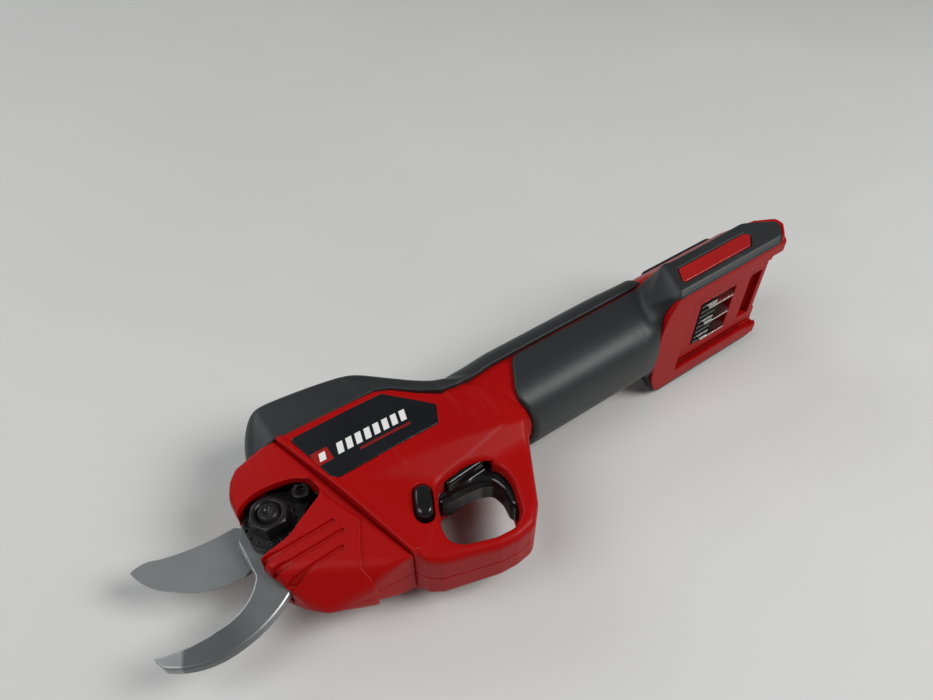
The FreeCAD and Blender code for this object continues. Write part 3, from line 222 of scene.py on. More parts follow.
def skin(name, space, field, material, replaces, faces, body="tool", mirror=False):
    """The surface where the field is zero, as a smooth-shaded piece."""
    band = 3 * space.step
    values = np.clip(np.broadcast_to(field, space.shape), -band, band).astype(np.float32)
    for axis in range(3):
        for edge in (0, -1):
            cut = [slice(None)] * 3
            cut[axis] = edge
            values[tuple(cut)] = np.maximum(values[tuple(cut)], 0.3 * space.step)
    grid = openvdb.FloatGrid(float(band))
    grid.copyFromArray(np.ascontiguousarray(values))
    points, quads = grid.convertToQuads(0.0)
    points = points * space.step + space.low
    if mirror:
        points[:, 2] = -points[:, 2]
    corner = points[quads]
    volume = np.einsum("ij,ij->i", np.cross(corner[:, 0], corner[:, 1]), corner[:, 2]).sum()
    volume += np.einsum("ij,ij->i", np.cross(corner[:, 0], corner[:, 2]), corner[:, 3]).sum()
    if volume < 0:
        quads = quads[:, ::-1]
    mesh = bpy.data.meshes.new(name)
    mesh.vertices.add(len(points))
    mesh.vertices.foreach_set("co", (points * MM + np.array(ORIGIN)).astype(np.float32).ravel())
    mesh.loops.add(quads.size)
    mesh.loops.foreach_set("vertex_index", quads.astype(np.int32).ravel())
    mesh.polygons.add(len(quads))
    mesh.polygons.foreach_set("loop_start", np.arange(len(quads), dtype=np.int32) * 4)
    mesh.polygons.foreach_set("loop_total", np.full(len(quads), 4, np.int32))
    mesh.update(calc_edges=True)
    piece = bpy.data.objects.new(name, mesh)
    scene.collection.objects.link(piece)
    if 2 * len(quads) > faces:
        thin = piece.modifiers.new("thin", "DECIMATE")
        thin.ratio = faces / (2 * len(quads))
        graph = bpy.context.evaluated_depsgraph_get()
        lighter = bpy.data.meshes.new_from_object(piece.evaluated_get(graph))
        piece.modifiers.clear()
        piece.data = lighter
        bpy.data.meshes.remove(mesh)
        mesh = lighter
        mesh.name = name
    mesh.polygons.foreach_set("use_smooth", np.ones(len(mesh.polygons), bool))
    shade_by_field(mesh, space, values, mirror)
    mesh.materials.append(material)
    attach(piece, body)
    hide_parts(*replaces)
    return piece


# ---- materials
class Nodes:
    """A material's node tree, with short ways to add to it."""

    def __init__(self, name):
        self.material = bpy.data.materials.new(name)
        self.material.use_nodes = True
        self.tree = self.material.node_tree
        self.tree.nodes.clear()
        out = self.add("ShaderNodeOutputMaterial")
        self.shader = self.add("ShaderNodeBsdfPrincipled")
        self.link(self.shader.outputs[0], out.inputs[0])
        self.place = self.add("ShaderNodeTexCoord").outputs["Object"]

    def add(self, kind, **values):
        node = self.tree.nodes.new(kind)
        for key, value in values.items():
            setattr(node, key, value)
        return node

    def link(self, source, target):
        self.tree.links.new(source, target)

    def noise(self, scale, detail=3.0, rough=0.5, stretch=None):
        node = self.add("ShaderNodeTexNoise")
        node.inputs["Scale"].default_value = scale
        node.inputs["Detail"].default_value = detail
        node.inputs["Roughness"].default_value = rough
        place = self.place
        if stretch:
            mapping = self.add("ShaderNodeMapping")
            mapping.inputs["Scale"].default_value = stretch[:3]
            if len(stretch) > 3:
                mapping.inputs["Rotation"].default_value = (0, 0, stretch[3])
            self.link(place, mapping.inputs[0])
            place = mapping.outputs[0]
        self.link(place, node.inputs["Vector"])
        return node.outputs["Fac"]

    def ramp(self, source, low, high, start=0.0, end=1.0):
        node = self.add("ShaderNodeMapRange")
        for key, value in zip(("From Min", "From Max", "To Min", "To Max"),
                              (low, high, start, end)):
            node.inputs[key].default_value = value
        self.link(source, node.inputs["Value"])
        return node.outputs["Result"]

    def mix(self, share, first, second):
        """A colour between first and second; each is a colour or a socket."""
        node = self.add("ShaderNodeMix", data_type="RGBA")
        self.link(share, node.inputs["Factor"])
        for index, value in ((6, first), (7, second)):
            if isinstance(value, tuple):
                node.inputs[index].default_value = (*value, 1.0)
            else:
                self.link(value, node.inputs[index])
        return node.outputs[2]

    def math(self, operation, a, b=None):
        node = self.add("ShaderNodeMath", operation=operation)
        for index, value in ((0, a), (1, b)):
            if value is None:
                continue
            if isinstance(value, (int, float)):
                node.inputs[index].default_value = value
            else:
                self.link(value, node.inputs[index])
        return node.outputs[0]

    def edges(self, radius):
        """How sharply the surface turns here, from 0 on a flat to 1 on an edge."""
        bevel = self.add("ShaderNodeBevel", samples=4)
        bevel.inputs["Radius"].default_value = radius
        flat = self.add("ShaderNodeNewGeometry").outputs["Normal"]
        dot = self.add("ShaderNodeVectorMath", operation="DOT_PRODUCT")
        self.link(bevel.outputs[0], dot.inputs[0])
        self.link(flat, dot.inputs[1])
        return self.ramp(dot.outputs["Value"], 0.995, 0.9)

    def relief(self, height, strength, distance, round_edges=0.0):
        bump = self.add("ShaderNodeBump")
        bump.inputs["Strength"].default_value = strength
        bump.inputs["Distance"].default_value = distance
        self.link(height, bump.inputs["Height"])
        if round_edges:
            bevel = self.add("ShaderNodeBevel", samples=4)
            bevel.inputs["Radius"].default_value = round_edges
            self.link(bevel.outputs[0], bump.inputs["Normal"])
        self.link(bump.outputs[0], self.shader.inputs["Normal"])

    def set(self, **values):
        for key, value in values.items():
            socket = self.shader.inputs[key.replace("_", " ")]
            if isinstance(value, (int, float)):
                socket.default_value = value
            elif isinstance(value, tuple):
                socket.default_value = (*value, 1.0) if len(value) == 3 else value
            else:
                self.link(value, socket)


def moulded(name, colour, shade, rough, grain=2600.0, depth=0.00002, round_edges=0.0,
            scuff=None, specular=0.5):
    """Moulded plastic: slight colour drift, fine spark-eroded grain, soft scuffs."""
    n = Nodes(name)
    drift = n.noise(14.0, 2.0)
    fine = n.noise(grain, 2.0, 0.6)
    colours = n.mix(n.ramp(drift, 0.35, 0.65), colour, shade)
    marks = n.noise(90.0, 5.0, 0.62, stretch=(1.0, 0.16, 0.6, 0.5))
    marks = n.ramp(marks, 0.60, 0.72)
    if scuff:
        share = n.math("MULTIPLY", marks, 0.22)
        colours = n.mix(share, colours, scuff)
    roughness = n.math("ADD", n.ramp(fine, 0.3, 0.7, rough - 0.05, rough + 0.05),
                       n.math("MULTIPLY", marks, 0.08))
    height = n.math("ADD", fine, n.math("MULTIPLY", n.noise(320.0, 2.0), 0.6))
    n.set(Base_Color=colours, Roughness=roughness, Specular_IOR_Level=specular)
    n.relief(height, 0.35, depth, round_edges)
    return n.material


def machined(name, colour, shade, rough, round_edges=0.0, stretch=(1.0, 1.0, 1.0),
             painted_highlight=None, edge=0.0003, scale=700.0, metal=1.0, depth=0.000006):
    """Metal with fine tooling lines, blotches, and a painted highlight: its edges painted bright
    in patches.
    """
    n = Nodes(name)
    lines = n.noise(scale, 3.0, 0.55, stretch=stretch)
    blotch = n.noise(60.0, 4.0)
    colours = n.mix(n.ramp(blotch, 0.35, 0.7), colour, shade)
    colours = n.mix(n.math("MULTIPLY", n.ramp(lines, 0.3, 0.7), 0.25), colours, shade)
    # painted highlight: edges found by the bevel node are painted a bright colour, in blotchy
    # patches
    if painted_highlight:
        colours = n.mix(n.math("MULTIPLY", n.edges(edge), n.ramp(blotch, 0.3, 0.55, 0.35, 0.9)),
                        colours, painted_highlight)
    roughness = n.math("ADD", n.ramp(blotch, 0.3, 0.7, rough - 0.05, rough + 0.08),
                       n.ramp(lines, 0.3, 0.7, -0.03, 0.03))
    n.set(Base_Color=colours, Metallic=metal, Roughness=roughness)
    n.relief(lines, 0.4, depth, round_edges)
    return n.material


RED = (0.360, 0.0034, 0.0034)
RED_DEEP = (0.320, 0.0028, 0.0028)
RED_WORN = (0.42, 0.03, 0.03)
BLACK = (0.0150, 0.0175, 0.0185)
BLACK_PALE = (0.0205, 0.0235, 0.0250)

red = moulded("red_moulding", RED, RED_DEEP, 0.36, scuff=RED_WORN, specular=0.11)
red_hard = moulded("red_moulding_hard_edged", RED, RED_DEEP, 0.40, round_edges=0.0005,
                   scuff=RED_WORN, specular=0.11)
red_trim = moulded("red_inlay_gloss", (0.36, 0.006, 0.006), (0.31, 0.005, 0.005), 0.30)
rubber = moulded("soft_overmould", BLACK, BLACK_PALE, 0.47, grain=3200.0, depth=0.00003,
                 scuff=(0.050, 0.055, 0.060), specular=0.45)
black_hard = moulded("black_moulding", (0.008, 0.008, 0.009), (0.013, 0.013, 0.015), 0.28,
                     round_edges=0.0004)
black_gloss = moulded("black_moulding_gloss", (0.006, 0.006, 0.007), (0.010, 0.010, 0.011),
                      0.16)
lens = moulded("smoked_lens", (0.010, 0.010, 0.012), (0.016, 0.016, 0.020), 0.08,
               depth=0.000004, round_edges=0.0002)
# black oxide with a painted highlight along its edges
oxide = machined("black_oxide", (0.008, 0.008, 0.008), (0.016, 0.015, 0.015), 0.30,
                 painted_highlight=(0.14, 0.135, 0.13), edge=0.00035, metal=0.35)
steel = machined("screw_steel", (0.50, 0.50, 0.49), (0.38, 0.38, 0.37), 0.32,
                 round_edges=0.0002)
gear = machined("gear_steel", (0.40, 0.40, 0.41), (0.30, 0.30, 0.30), 0.30,
                round_edges=0.0001)
bronze = machined("sintered_bronze", (0.50, 0.31, 0.13), (0.38, 0.23, 0.10), 0.42,
                  round_edges=0.0002)
casting = machined("cast_aluminium", (0.56, 0.56, 0.57), (0.46, 0.46, 0.47), 0.5,
                   round_edges=0.0003, scale=1500.0, depth=0.00003)
can = machined("motor_can", (0.34, 0.35, 0.36), (0.26, 0.26, 0.27), 0.35, round_edges=0.0003,
               stretch=(1.0, 0.1, 0.1))
copper = machined("winding_copper", (0.72, 0.28, 0.12), (0.50, 0.17, 0.07), 0.35,
                  stretch=(0.1, 1.0, 1.0), scale=2200.0, depth=0.00012)
brass = machined("contact_metal", (0.72, 0.70, 0.66), (0.58, 0.55, 0.50), 0.27,
                 round_edges=0.0001, stretch=(0.15, 1.0, 1.0))
board = moulded("circuit_board", (0.010, 0.085, 0.030), (0.014, 0.12, 0.045), 0.36,
                grain=900.0, round_edges=0.0001)
sleeve = moulded("lead_insulation", (0.42, 0.012, 0.010), (0.30, 0.010, 0.008), 0.45)


def blade_material(name):
    """Grey coated blade steel, with its ground bevels bright and finely scratched; the band
    attribute paints shade into the coat, and part of the ground attribute is a painted highlight.
    """
    n = Nodes(name)
    ground = n.add("ShaderNodeAttribute", attribute_name="ground").outputs["Fac"]
    band = n.add("ShaderNodeAttribute", attribute_name="band").outputs["Fac"]
    grain = n.noise(1500.0, 2.0)
    blotch = n.noise(38.0, 5.0, 0.6)
    lines = n.noise(420.0, 3.0, 0.5, stretch=(1.0, 0.06, 1.0, 0.35))
    coat = n.mix(n.ramp(blotch, 0.3, 0.7), (0.165, 0.176, 0.176), (0.205, 0.217, 0.217))
    dark = n.mix(n.ramp(blotch, 0.3, 0.7), (0.078, 0.084, 0.087), (0.102, 0.108, 0.112))
    # painted shade: the coat turns darker where the band attribute is high
    coat = n.mix(band, coat, dark)
    bare = n.mix(n.ramp(lines, 0.3, 0.7), (0.46, 0.47, 0.48), (0.66, 0.67, 0.67))
    colours = n.mix(ground, coat, bare)
    rough = n.math("ADD", n.ramp(blotch, 0.3, 0.7, 0.40, 0.52),
                   n.math("MULTIPLY", ground, -0.18))
    n.set(Base_Color=colours, Roughness=rough,
          Metallic=n.ramp(ground, 0.0, 1.0, 0.45, 1.0))
    n.relief(n.math("ADD", grain, n.math("MULTIPLY", lines, 0.5)), 0.35, 0.00001)
    return n.material


blade_steel = blade_material("blade_steel")

FINISHES = {
    "red_plastic": red_hard, "red_inlay": red_trim, "soft_black": rubber,
    "black_plastic": black_hard, "status_lens": lens, "blade_steel": blade_steel,
    "black_oxide": oxide, "screw_steel": steel, "gear_steel": gear, "bronze": bronze,
    "cast_aluminium": casting, "motor_steel": can, "winding_copper": copper,
    "circuit_board": board, "lead_insulation": sleeve, "contact_brass": brass,
}
for part in frame["record"]["subparts"]:
    for holder in frame["nodes"][part["node"]].material_slots:
        holder.material = FINISHES[part["material_slot"]]


# ---- outlines of the mouldings
SEAM_TOP, SEAM_LOW = (14.5, 26.5), (34.5, -43.0)
SEAM_WAY = (69.5, 20.0)  # points to the rear, square to the seam
HEM = [(14.5, 24.3), (58.0, 23.4), (64.0, 20.6), (72.0, 13.6), (80.0, 8.2), (87.0, 6.8),
       (95.0, 7.6), (105.0, 8.9), (192.0, 8.9)]
OPENING = eased([
    (56.5, -25.0, 4), (71.0, -23.4, 16), (78.2, -26.0, 10), (81.6, -31.5, 12), (81.2, -38.5, 14),
    (76.2, -50.2, 6), (70.9, -54.0, 5), (63.0, -53.2, 12), (51.5, -49.3, 6), (47.8, -46.0, 4),
    (47.8, -41.0, 10), (53.0, -30.0, 8)])
POSTS = [(66.5, 19.3), (104.0, -9.0), (104.0, 12.0), (152.0, -7.0), (236.0, 4.0)]
GUARD_SCREW = (41.5, -41.5)
COVER_SCREWS = [(1.5, 19.2), (10.0, -31.0)]
SCREW, SCREW_HEAD, SCREW_SEAT, COVER_SEAT = 1.55, 3.0, 9.0, 5.5
POST, WALL = 4.8, 2.2
HEAD_SIDE, FOOT_SIDE = 21.0, 30.0  # half widths
HANDLE_FRONT, FOOT_REAR = 84.0, 258.0
SHOE_LOW, SHOE_TOP = -17.5, -11.0
TERMINALS, TERMINAL_HALF = (208.0, 231.0), 13.4  # front and rear, half width
BUTTON, BUTTON_HALF = (207.6, 218.6), 4.4
PIN = 1.55  # the trigger pin's hole
SKIN_GAP = 0.06  # between the housing and its soft skins
SPLIT = 0.02  # between a half and the parting plane
SEAM_GAP = 0.07
HOOK_LOW, HOOK_HIGH = 1.1, 5.1
BLADE_LOW, BLADE_HIGH = -3.0, 1.0
FLATS, NUT_LOW, NUT_HIGH = 6.5, 8.6, 15.4
LOCK_SCREW = (14.2, 3.8)
LOCK, LOCK_TURN = (47.6, -29.2), math.radians(62.0)
PIVOT_TRIGGER = (56.5, -21.3)


def oval(s, up, side):
    """Outside an oval a little squarer than an ellipse, as a share of its size."""
    power = 2.6
    u, v = np.abs(s.y - 0.5) / up, np.abs(s.z) / side
    return (u ** power + v ** power) ** (1 / power) - 1.0


def handle_body(s, inset=0.0):
    """The round handle."""
    return oval(s, 18.0 - inset, 17.0 - inset) * (16.5 - inset)


def foot_body(s, inset=0.0, radius=3.0):
    """The wide battery end: a flat underside and sides that slope up to the spine."""
    spine, flat, side = 18.5 - inset, 10.5 - inset, FOOT_SIDE - inset
    section = eased([
        (spine, flat), (spine, -flat), (1.4, -side), (-11.0 + inset, -side, 0.0),
        (-11.0 + inset, side, 0.0), (1.4, side)], radius)
    return outline(section, s.y, s.z)


def flared(s, first, second):
    """Handle in front, foot behind; the change comes later along the back."""
    rise = np.clip(s.y + 17.0, 0.0, 24.0)
    share = steps_up(0.0, 1.0, (s.x - 171.0 - 0.55 * rise) / (18.0 - 0.14 * rise))
    return first * (1.0 - share) + second * share


def lock_slot(s, reach, half):
    """A capsule leaning along the finger guard."""
    along = (math.cos(LOCK_TURN), math.sin(LOCK_TURN))
    u = (s.x - LOCK[0]) * along[0] + (s.y - LOCK[1]) * along[1]
    v = (s.y - LOCK[1]) * along[0] - (s.x - LOCK[0]) * along[1]
    return np.hypot(np.maximum(np.abs(u) - reach, 0.0), v) - half


def head_limit(s):
    """Distance outside the head's side faces, dished towards the finger opening."""
    flat = s.z - HEAD_SIDE
    taper = half_plane((66.0, 21.0), (4.0, 30.0), s.x, s.z)
    slope = (s.z - HEAD_SIDE + 0.195 * (-9.0 - s.y)) * 0.981
    side = meet(meet(flat, slope, 1.6), taper, 5.0)
    above = (s.z - 14.4 - 0.45 * (s.y + 24.0)) * 0.912
    ahead = (-0.879 * (s.x - 56.5) + 0.478 * (s.y + 25.0))
    ahead = (s.z - 14.6 - 0.217 * ahead) * 0.977
    dish = join(join(above, ahead, 0.8), s.z - 12.2, 1.6)
    return meet(side, dish, 0.5)


def red_core(s):
    """Outside of a housing half, before its rooms and holes are cut."""
    head = outline(eased(HEM[:5] + [
        (90.0, 7.0), (104.0, -16.5), (60.0, -24.0), (40.0, -45.0), SEAM_LOW], 0.4), s.x, s.y)
    guard = shape(s, [SEAM_LOW, (37.0, -47.8, 3), (41.5, -51.0, 5), (62.0, -57.6, 8),
                      (69.0, -58.4, 6), (77.0, -57.6, 7), (83.6, -51.0, 10), (104.0, -17.5, 2),
                      (98.0, -8.0), (40.0, -8.0)])
    side = head_limit(s)
    front = join(meet(head, side, 1.6), meet(guard, side, 3.2), 0.6)
    front = meet(front, SEAM_GAP - half_plane(SEAM_TOP, SEAM_WAY, s.x, s.y), 0.0)
    barrel = both(handle_body(s), HANDLE_FRONT - s.x)
    foot = flared(s, handle_body(s), foot_body(s))
    rear = both(meet(foot, s.x - FOOT_REAR, 2.0), HANDLE_FRONT - s.x)
    return join(front, join(barrel + np.maximum(s.x - 158.0, 0.0), rear), 4.0)


BADGE = eased([
    (19.6, 20.3), (59.5, 20.3), (75.0, 4.0), (70.4, -4.6), (27.0, -5.2), (24.6, -3.2)], 1.6)


def bumper_body(s):
    """The side pad and the bumper it flares into, before anything is cut from it."""
    pad = handle_body(s, -2.0)
    bumper = outline(eased([
        (18.5, 10.5, 3), (5.2, 28.6, 3), (2.2, 32.6, 2.2), (-3.0, 33.2, 6), (-15.2, 33.2, 1.5),
        (-17.3, 31.0, 1.0), (-17.3, 0.0), (18.5, 0.0)]), s.y, s.z)
    section = flared(s, pad, bumper)
    plan = shape(s, [
        (113.0, 4.0, 4), (116.0, 7.6, 4), (160.0, 7.6), (192.0, 7.6, 2), (198.0, 1.8, 3),
        (215.0, 1.6, 8), (246.0, 2.2, 6), (259.8, -6.4, 2.5), (259.8, -9.6, 3), (252.0, -17.6, 1),
        (252.0, -24.0), (120.0, -24.0), (112.0, -22.0, 3), (107.0, -17.0, 6), (104.5, -12.0, 6),
        (106.0, -7.0, 6)])
    return meet(section, plan, 1.3)


def rear_rim(s):
    """The red lip that shows round the rear end of the soft bumper."""
    section = outline(eased([
        (6.8, 20.0), (6.2, 27.4, 3), (3.4, 32.4, 3), (-15.2, 32.9, 2), (-17.4, 31.0, 1),
        (-17.4, 20.0)]), s.y, s.z)
    plan = shape(s, [
        (236.0, -4.0), (254.5, -0.8, 2), (262.2, -4.9, 2.5), (262.2, -9.6, 3), (254.0, -17.4, 1.5),
        (236.0, -17.4)])
    return meet(section, plan, 1.0)


def shoe_plan(s, gap, top):
    """The battery shoe's block: full width, with a rounded front end."""
    plan = outline(eased([
        (179.6, -11.0, 8), (179.6, 11.0, 8), (181.2, 21.0, 8), (185.4, FOOT_SIDE, 3),
        (263.0, FOOT_SIDE), (263.0, -FOOT_SIDE), (185.4, -FOOT_SIDE, 3), (181.2, -21.0, 8)]), s.x,
        s.z) - gap
    plan = plan + 0.45 * np.maximum(s.y - SHOE_LOW, 0.0) * (1.0 - steps_up(188.0, 194.0, s.x))
    return both(plan, between(s.y, -30.0, top))


def red_half(left):
    """One housing half; the right one is drawn in the same place and mirrored."""
    s = Space((12.0, -60.5, -1.4), (263.5, 26.0, 34.0), 0.42)
    whole = red_core(s)
    opening = outline(OPENING, s.x, s.y)
    whole = carve(whole, opening, 2.6)
    lip = np.abs(half_plane(SEAM_TOP, SEAM_WAY, s.x, s.y) - 1.2) - 1.2
    raised = meet(np.maximum(s.z - 21.6, 0.0) + head_limit(s) - 0.6, lip, 0.8)
    raised = both(raised, shape(s, [SEAM_LOW, (60.0, -40.0), (60.0, 24.1), (14.5, 24.1)]))
    whole = join(whole, both(raised, 14.0 - s.z), 0.5)
    whole = join(whole, carve(rear_rim(s), bumper_body(s) - 0.08))
    badge = both(outline(BADGE, s.x, s.y) - 0.08, -head_limit(s) - 0.9)
    whole = carve(whole, both(badge, 12.0 - s.z), 0.15)
    inner = whole + WALL
    rooms = shape(s, [
        (18.0, 21.0), (57.0, 20.4), (77.0, 12.0), (93.0, 15.0), (93.0, -15.0), (50.5, -17.6),
        (27.0, -17.6)], 1.5)
    rooms = meet(rooms, both(inner, s.z - 18.4))
    window = both(shape(s, [(16.0, 19.0), (62.0, 19.0), (62.0, 30.0), (16.0, 30.0)]), s.z - 15.0)
    chin = shape(s, [
        (27.0, -17.0), (49.0, -17.0), (42.0, -24.0), (36.0, -38.0), (33.5, -40.0)], 1.0)
    chin = meet(chin, both(inner, s.z - 8.3))
    hollow = flared(s, handle_body(s, WALL), foot_body(s, WALL))
    hollow = both(hollow, 86.0 - s.x, s.x - 255.6)
    posts = join(both(discs(POSTS[:4], POST, s), s.z - 11.0),
                 both(disc(*POSTS[4], POST, s), s.z - 20.0))
    shell = carve(carve(carve(whole, hollow), rooms), join(chin, window))
    shell = join(shell, meet(posts, whole + 0.4), 0.6)
    trigger_room = shape(s, [
        (50.0, -16.9), (50.0, -24.0), (56.0, -29.0), (74.0, -34.0), (74.0, -47.5), (79.5, -48.5),
        (84.0, -44.0), (87.6, -36.0), (87.6, -27.0), (98.5, -26.0), (98.5, -14.0), (88.0, -13.0)],
        0.6)
    wings = shape(s, [(59.6, -18.3), (80.5, -17.2), (80.5, -27.5), (59.6, -27.5)])
    front, rear = TERMINALS
    contacts = shape(s, [(front, -15.0), (rear, -15.0), (rear, -4.0), (front, -4.0)])
    front, rear = BUTTON
    button = shape(s, [(front, 10.0), (front, 25.0), (rear, 25.0), (rear, 10.0)])
    pin = disc(*PIVOT_TRIGGER, PIN, s)
    for room, depth in ((trigger_room, 6.9), (wings, 12.3), (pin, 10.7),
                        (contacts, TERMINAL_HALF), (button, BUTTON_HALF)):
        shell = carve(shell, both(room, s.z - depth))
    shell = carve(shell, shoe_plan(s, 0.3, SHOE_TOP))
    shell = carve(shell, disc(*LOCK, 2.3, s))
    holes = discs([GUARD_SCREW] + POSTS, SCREW, s)
    if left:
        shell = carve(shell, both(holes, s.z - 8.0))
        recess = both(lock_slot(s, 4.6, 3.55), 8.3 - s.z)
        shell = carve(shell, recess, 0.5)
    else:
        shell = carve(shell, holes)
        seats = discs([GUARD_SCREW] + POSTS, SCREW_HEAD, s)
        shell = carve(shell, both(seats, SCREW_SEAT - s.z), 0.3)
        spring = both(disc(*PIVOT_TRIGGER, 3.9, s), s.z - 10.4)
        shell = carve(shell, spring)
    shell = both(shell, SPLIT - s.z)
    name = "housing_left" if left else "housing_right"
    skin(name + "_moulding", s, shell, red,
         replaces=(name,), faces=190000, mirror=not left)


red_half(True)
red_half(False)


# ---- front covers
def cover_side(s):
    """Distance outside the cover's side face, with its raised front plateau."""
    upper = (s.z - 16.0 - 0.17 * s.x - 0.04 * s.y) * 0.985
    lower = (s.z - 15.2 - 0.13 * s.x - 0.155 * s.y) * 0.98
    return meet(upper, lower, 2.0)


def cover_half(left):
    """One shell over the blade's root, with its jaw slot; the left one shows the nut."""
    s = Space((-12.5, -49.5, -1.4), (37.0, 28.5, 23.5), 0.32)
    plan = shape(s, [
        (-9.6, -3.0, 2), (-9.5, 14.0, 5), (-6.2, 20.2, 4), (-2.5, 23.6, 4), (14.5, 26.5, 0.6),
        (34.5, -43.0, 0.4), (17.5, -41.5, 2), (2.2, -37.6, 4), (-2.4, -32.0, 3), (-5.2, -25.4, 6),
        (-8.6, -15.5, 8)])
    side = cover_side(s)
    ridge = shape(s, [
        (18.6, 4.0), (20.8, -8.8), (26.2, -21.5), (17.8, -36.7), (21.0, -47.0), (-30.0, -60.0),
        (-30.0, 4.0)], 1.0)
    chin = -0.427 * (s.x - 2.0) - 0.62 * (s.y + 37.7) + 0.658 * s.z
    front = half_plane((-9.2, 15.0), (-1.0, 0.42), s.x, s.z)
    low = meet(meet(meet(plan, side, 1.8), chin, 1.8), front, 1.6)
    high = meet(low - 1.3, ridge + 0.4, 0.8)
    body = join(low, high, 0.15)
    body = meet(body, half_plane(SEAM_TOP, SEAM_WAY, s.x, s.y) + SEAM_GAP)
    room = shape(s, [
        (-7.7, -3.0), (-7.7, 13.0), (-4.7, 18.8), (-1.5, 21.6), (17.4, 24.0), (35.8, -38.6),
        (16.5, -36.6), (3.0, -33.6), (0.2, -29.5), (-5.4, -15.0)], 1.0)
    room = both(room, body + 2.0, s.z - 8.3)
    shell = carve(body, room)
    jaw = shape(s, [
        (-15.0, -31.0), (-15.0, 15.5), (0.0, 15.5), (5.6, -24.2), (2.0, -24.2), (-5.2, -26.4)])
    shell = carve(shell, both(jaw, s.z - (5.4 if left else 3.3)))
    if left:
        drop = smooth_loop([
            (-11.5, 5.2), (-9.9, 6.6), (-6.8, 8.6), (-2.0, 9.7), (3.0, 9.5), (8.5, 8.2),
            (13.2, 6.4), (17.2, 3.0), (19.3, -1.8), (18.0, -5.4), (13.0, -7.6), (8.0, -9.6),
            (2.4, -12.0), (-6.0, -12.9), (-15.0, -13.0), (-15.0, 0.0), (-15.0, 4.6)])
        wall = outline(drop, s.x, s.y)
        shell = carve(shell, both(wall, 5.0 - s.z), 0.3)
        under = both(wall - 3.4, 5.0 - s.z, body + 3.0)
        shell = carve(shell, under)
        pinion = outline([
            (-9.4, -1.0), (-9.4, 6.0), (-4.0, 10.9), (4.0, 10.9), (9.4, 6.0), (9.4, -1.0)], s.y,
            s.z)
        shell = carve(shell, both(pinion, between(s.x, 18.7, 34.0)))
        for start, end in (((-5.1, -15.4), (17.4, -16.8)), ((-3.9, -20.4), (18.4, -21.8)),
                           ((-2.0, -26.1), (15.4, -26.7))):
            shown = math.dist(start, end)
            long = shown + 8.0
            way = ((end[0] - start[0]) / shown, (end[1] - start[1]) / shown)
            along = (s.x - end[0]) * way[0] + (s.y - end[1]) * way[1]
            beside = (s.y - end[1]) * way[0] - (s.x - end[0]) * way[1]
            flare = steps_up(shown - 3.0, shown + 1.0, -along)
            line = np.hypot(along - np.clip(along, -long, 0.0), beside) - 0.75 - 0.5 * flare
            bed = both(-body - 1.0 - 0.6 * flare, 5.8 - s.z)
            shell = carve(shell, meet(line, bed, 0.3), 0.25)
    else:
        shell = carve(shell, both(disc(0.0, 0.0, 9.4, s), 8.0 - s.z), 0.6)
        room = shape(s, [(-4.0, -24.0), (4.0, -26.0), (14.0, -24.0), (29.0, -16.0), (27.0, 10.0),
                         (20.0, 17.0), (13.0, 23.4), (0.0, 23.4), (-4.0, 12.0)]) - 0.8
        shell = carve(shell, both(room, s.z - 10.4, body + 1.0))
    posts = both(discs(COVER_SCREWS, 3.0, s), s.z - 8.6, body + 0.3)
    shell = join(shell, posts, 0.4)
    holes = discs(COVER_SCREWS, SCREW, s)
    if left:
        shell = carve(shell, both(holes, s.z - 8.0))
    else:
        seats = discs(COVER_SCREWS, SCREW_HEAD, s)
        shell = carve(carve(shell, holes), both(seats, COVER_SEAT - s.z), 0.3)
    shell = both(shell, SPLIT - s.z)
    name = "front_cover_left" if left else "front_cover_right"
    skin(name + "_moulding", s, shell, red,
         replaces=(name,), faces=150000, mirror=not left)


cover_half(True)
cover_half(False)


# ---- soft skins
def hump():
    """Soft skin over the electronics hump and along the back of the handle."""
    s = Space((1.0, 5.0, -21.5), (196.0, 47.5, 21.5), 0.45)
    w = np.abs(s.z)
    top = smooth_loop([
        (2.5, 24.0), (3.2, 29.0), (6.0, 36.0), (10.0, 42.0), (14.5, 45.2), (20.0, 45.9),
        (30.0, 44.9), (42.0, 43.0), (52.0, 40.6), (58.0, 37.4), (64.0, 31.6), (70.0, 25.4),
        (75.5, 20.4), (81.0, 16.4), (87.0, 13.0), (95.0, 4.0), (70.0, 0.0), (40.0, 0.0),
        (3.0, 0.0), (2.4, 12.0)], 5)
    profile = outline(top, s.x, s.y)
    nose = 20.3 - 5.0 * (1.0 - steps_up(0.0, 16.0, s.x))
    block = meet(profile, w - nose + 0.08 * np.maximum(s.y - 24.0, 0.0), 5.5)
    crown = 19.2 + 1.2 * steps_up(80.0, 93.0, s.x) + 1.4 * steps_up(93.0, 112.0, s.x)
    crown = crown - 1.0 * steps_up(165.0, 190.0, s.x)
    side = 19.3
    strip = both(oval(s, crown, side) * side, 74.0 - s.x)
    whole = join(both(block, s.x - 94.0), strip, 3.0)
    hem = outline(HEM + [(192.0, 60.0), (-20.0, 60.0), (-20.0, 24.3)], s.x, s.y)
    whole = meet(whole, hem, 0.8)
    whole = meet(whole, s.x - 191.5, 1.0)
    core = both(handle_body(s), HANDLE_FRONT - s.x) - SKIN_GAP
    hollow = both(whole + 3.0, s.x - 84.3)
    shell = carve(carve(whole, core), hollow)
    under = shape(s, [(17.0, 10.0), (80.0, 0.0), (80.0, 6.0), (60.0, 21.0), (17.0, 27.0)])
    shell = carve(shell, both(under, w - 17.0, 17.0 - s.x))
    skin("hump_and_spine", s, shell, rubber,
         replaces=("top_grip",), faces=190000)


hump()


INLAY = eased([
    (193.2, -12.0), (198.0, -4.3), (239.6, -4.3), (242.2, -6.6), (236.2, -12.0)], 1.2)


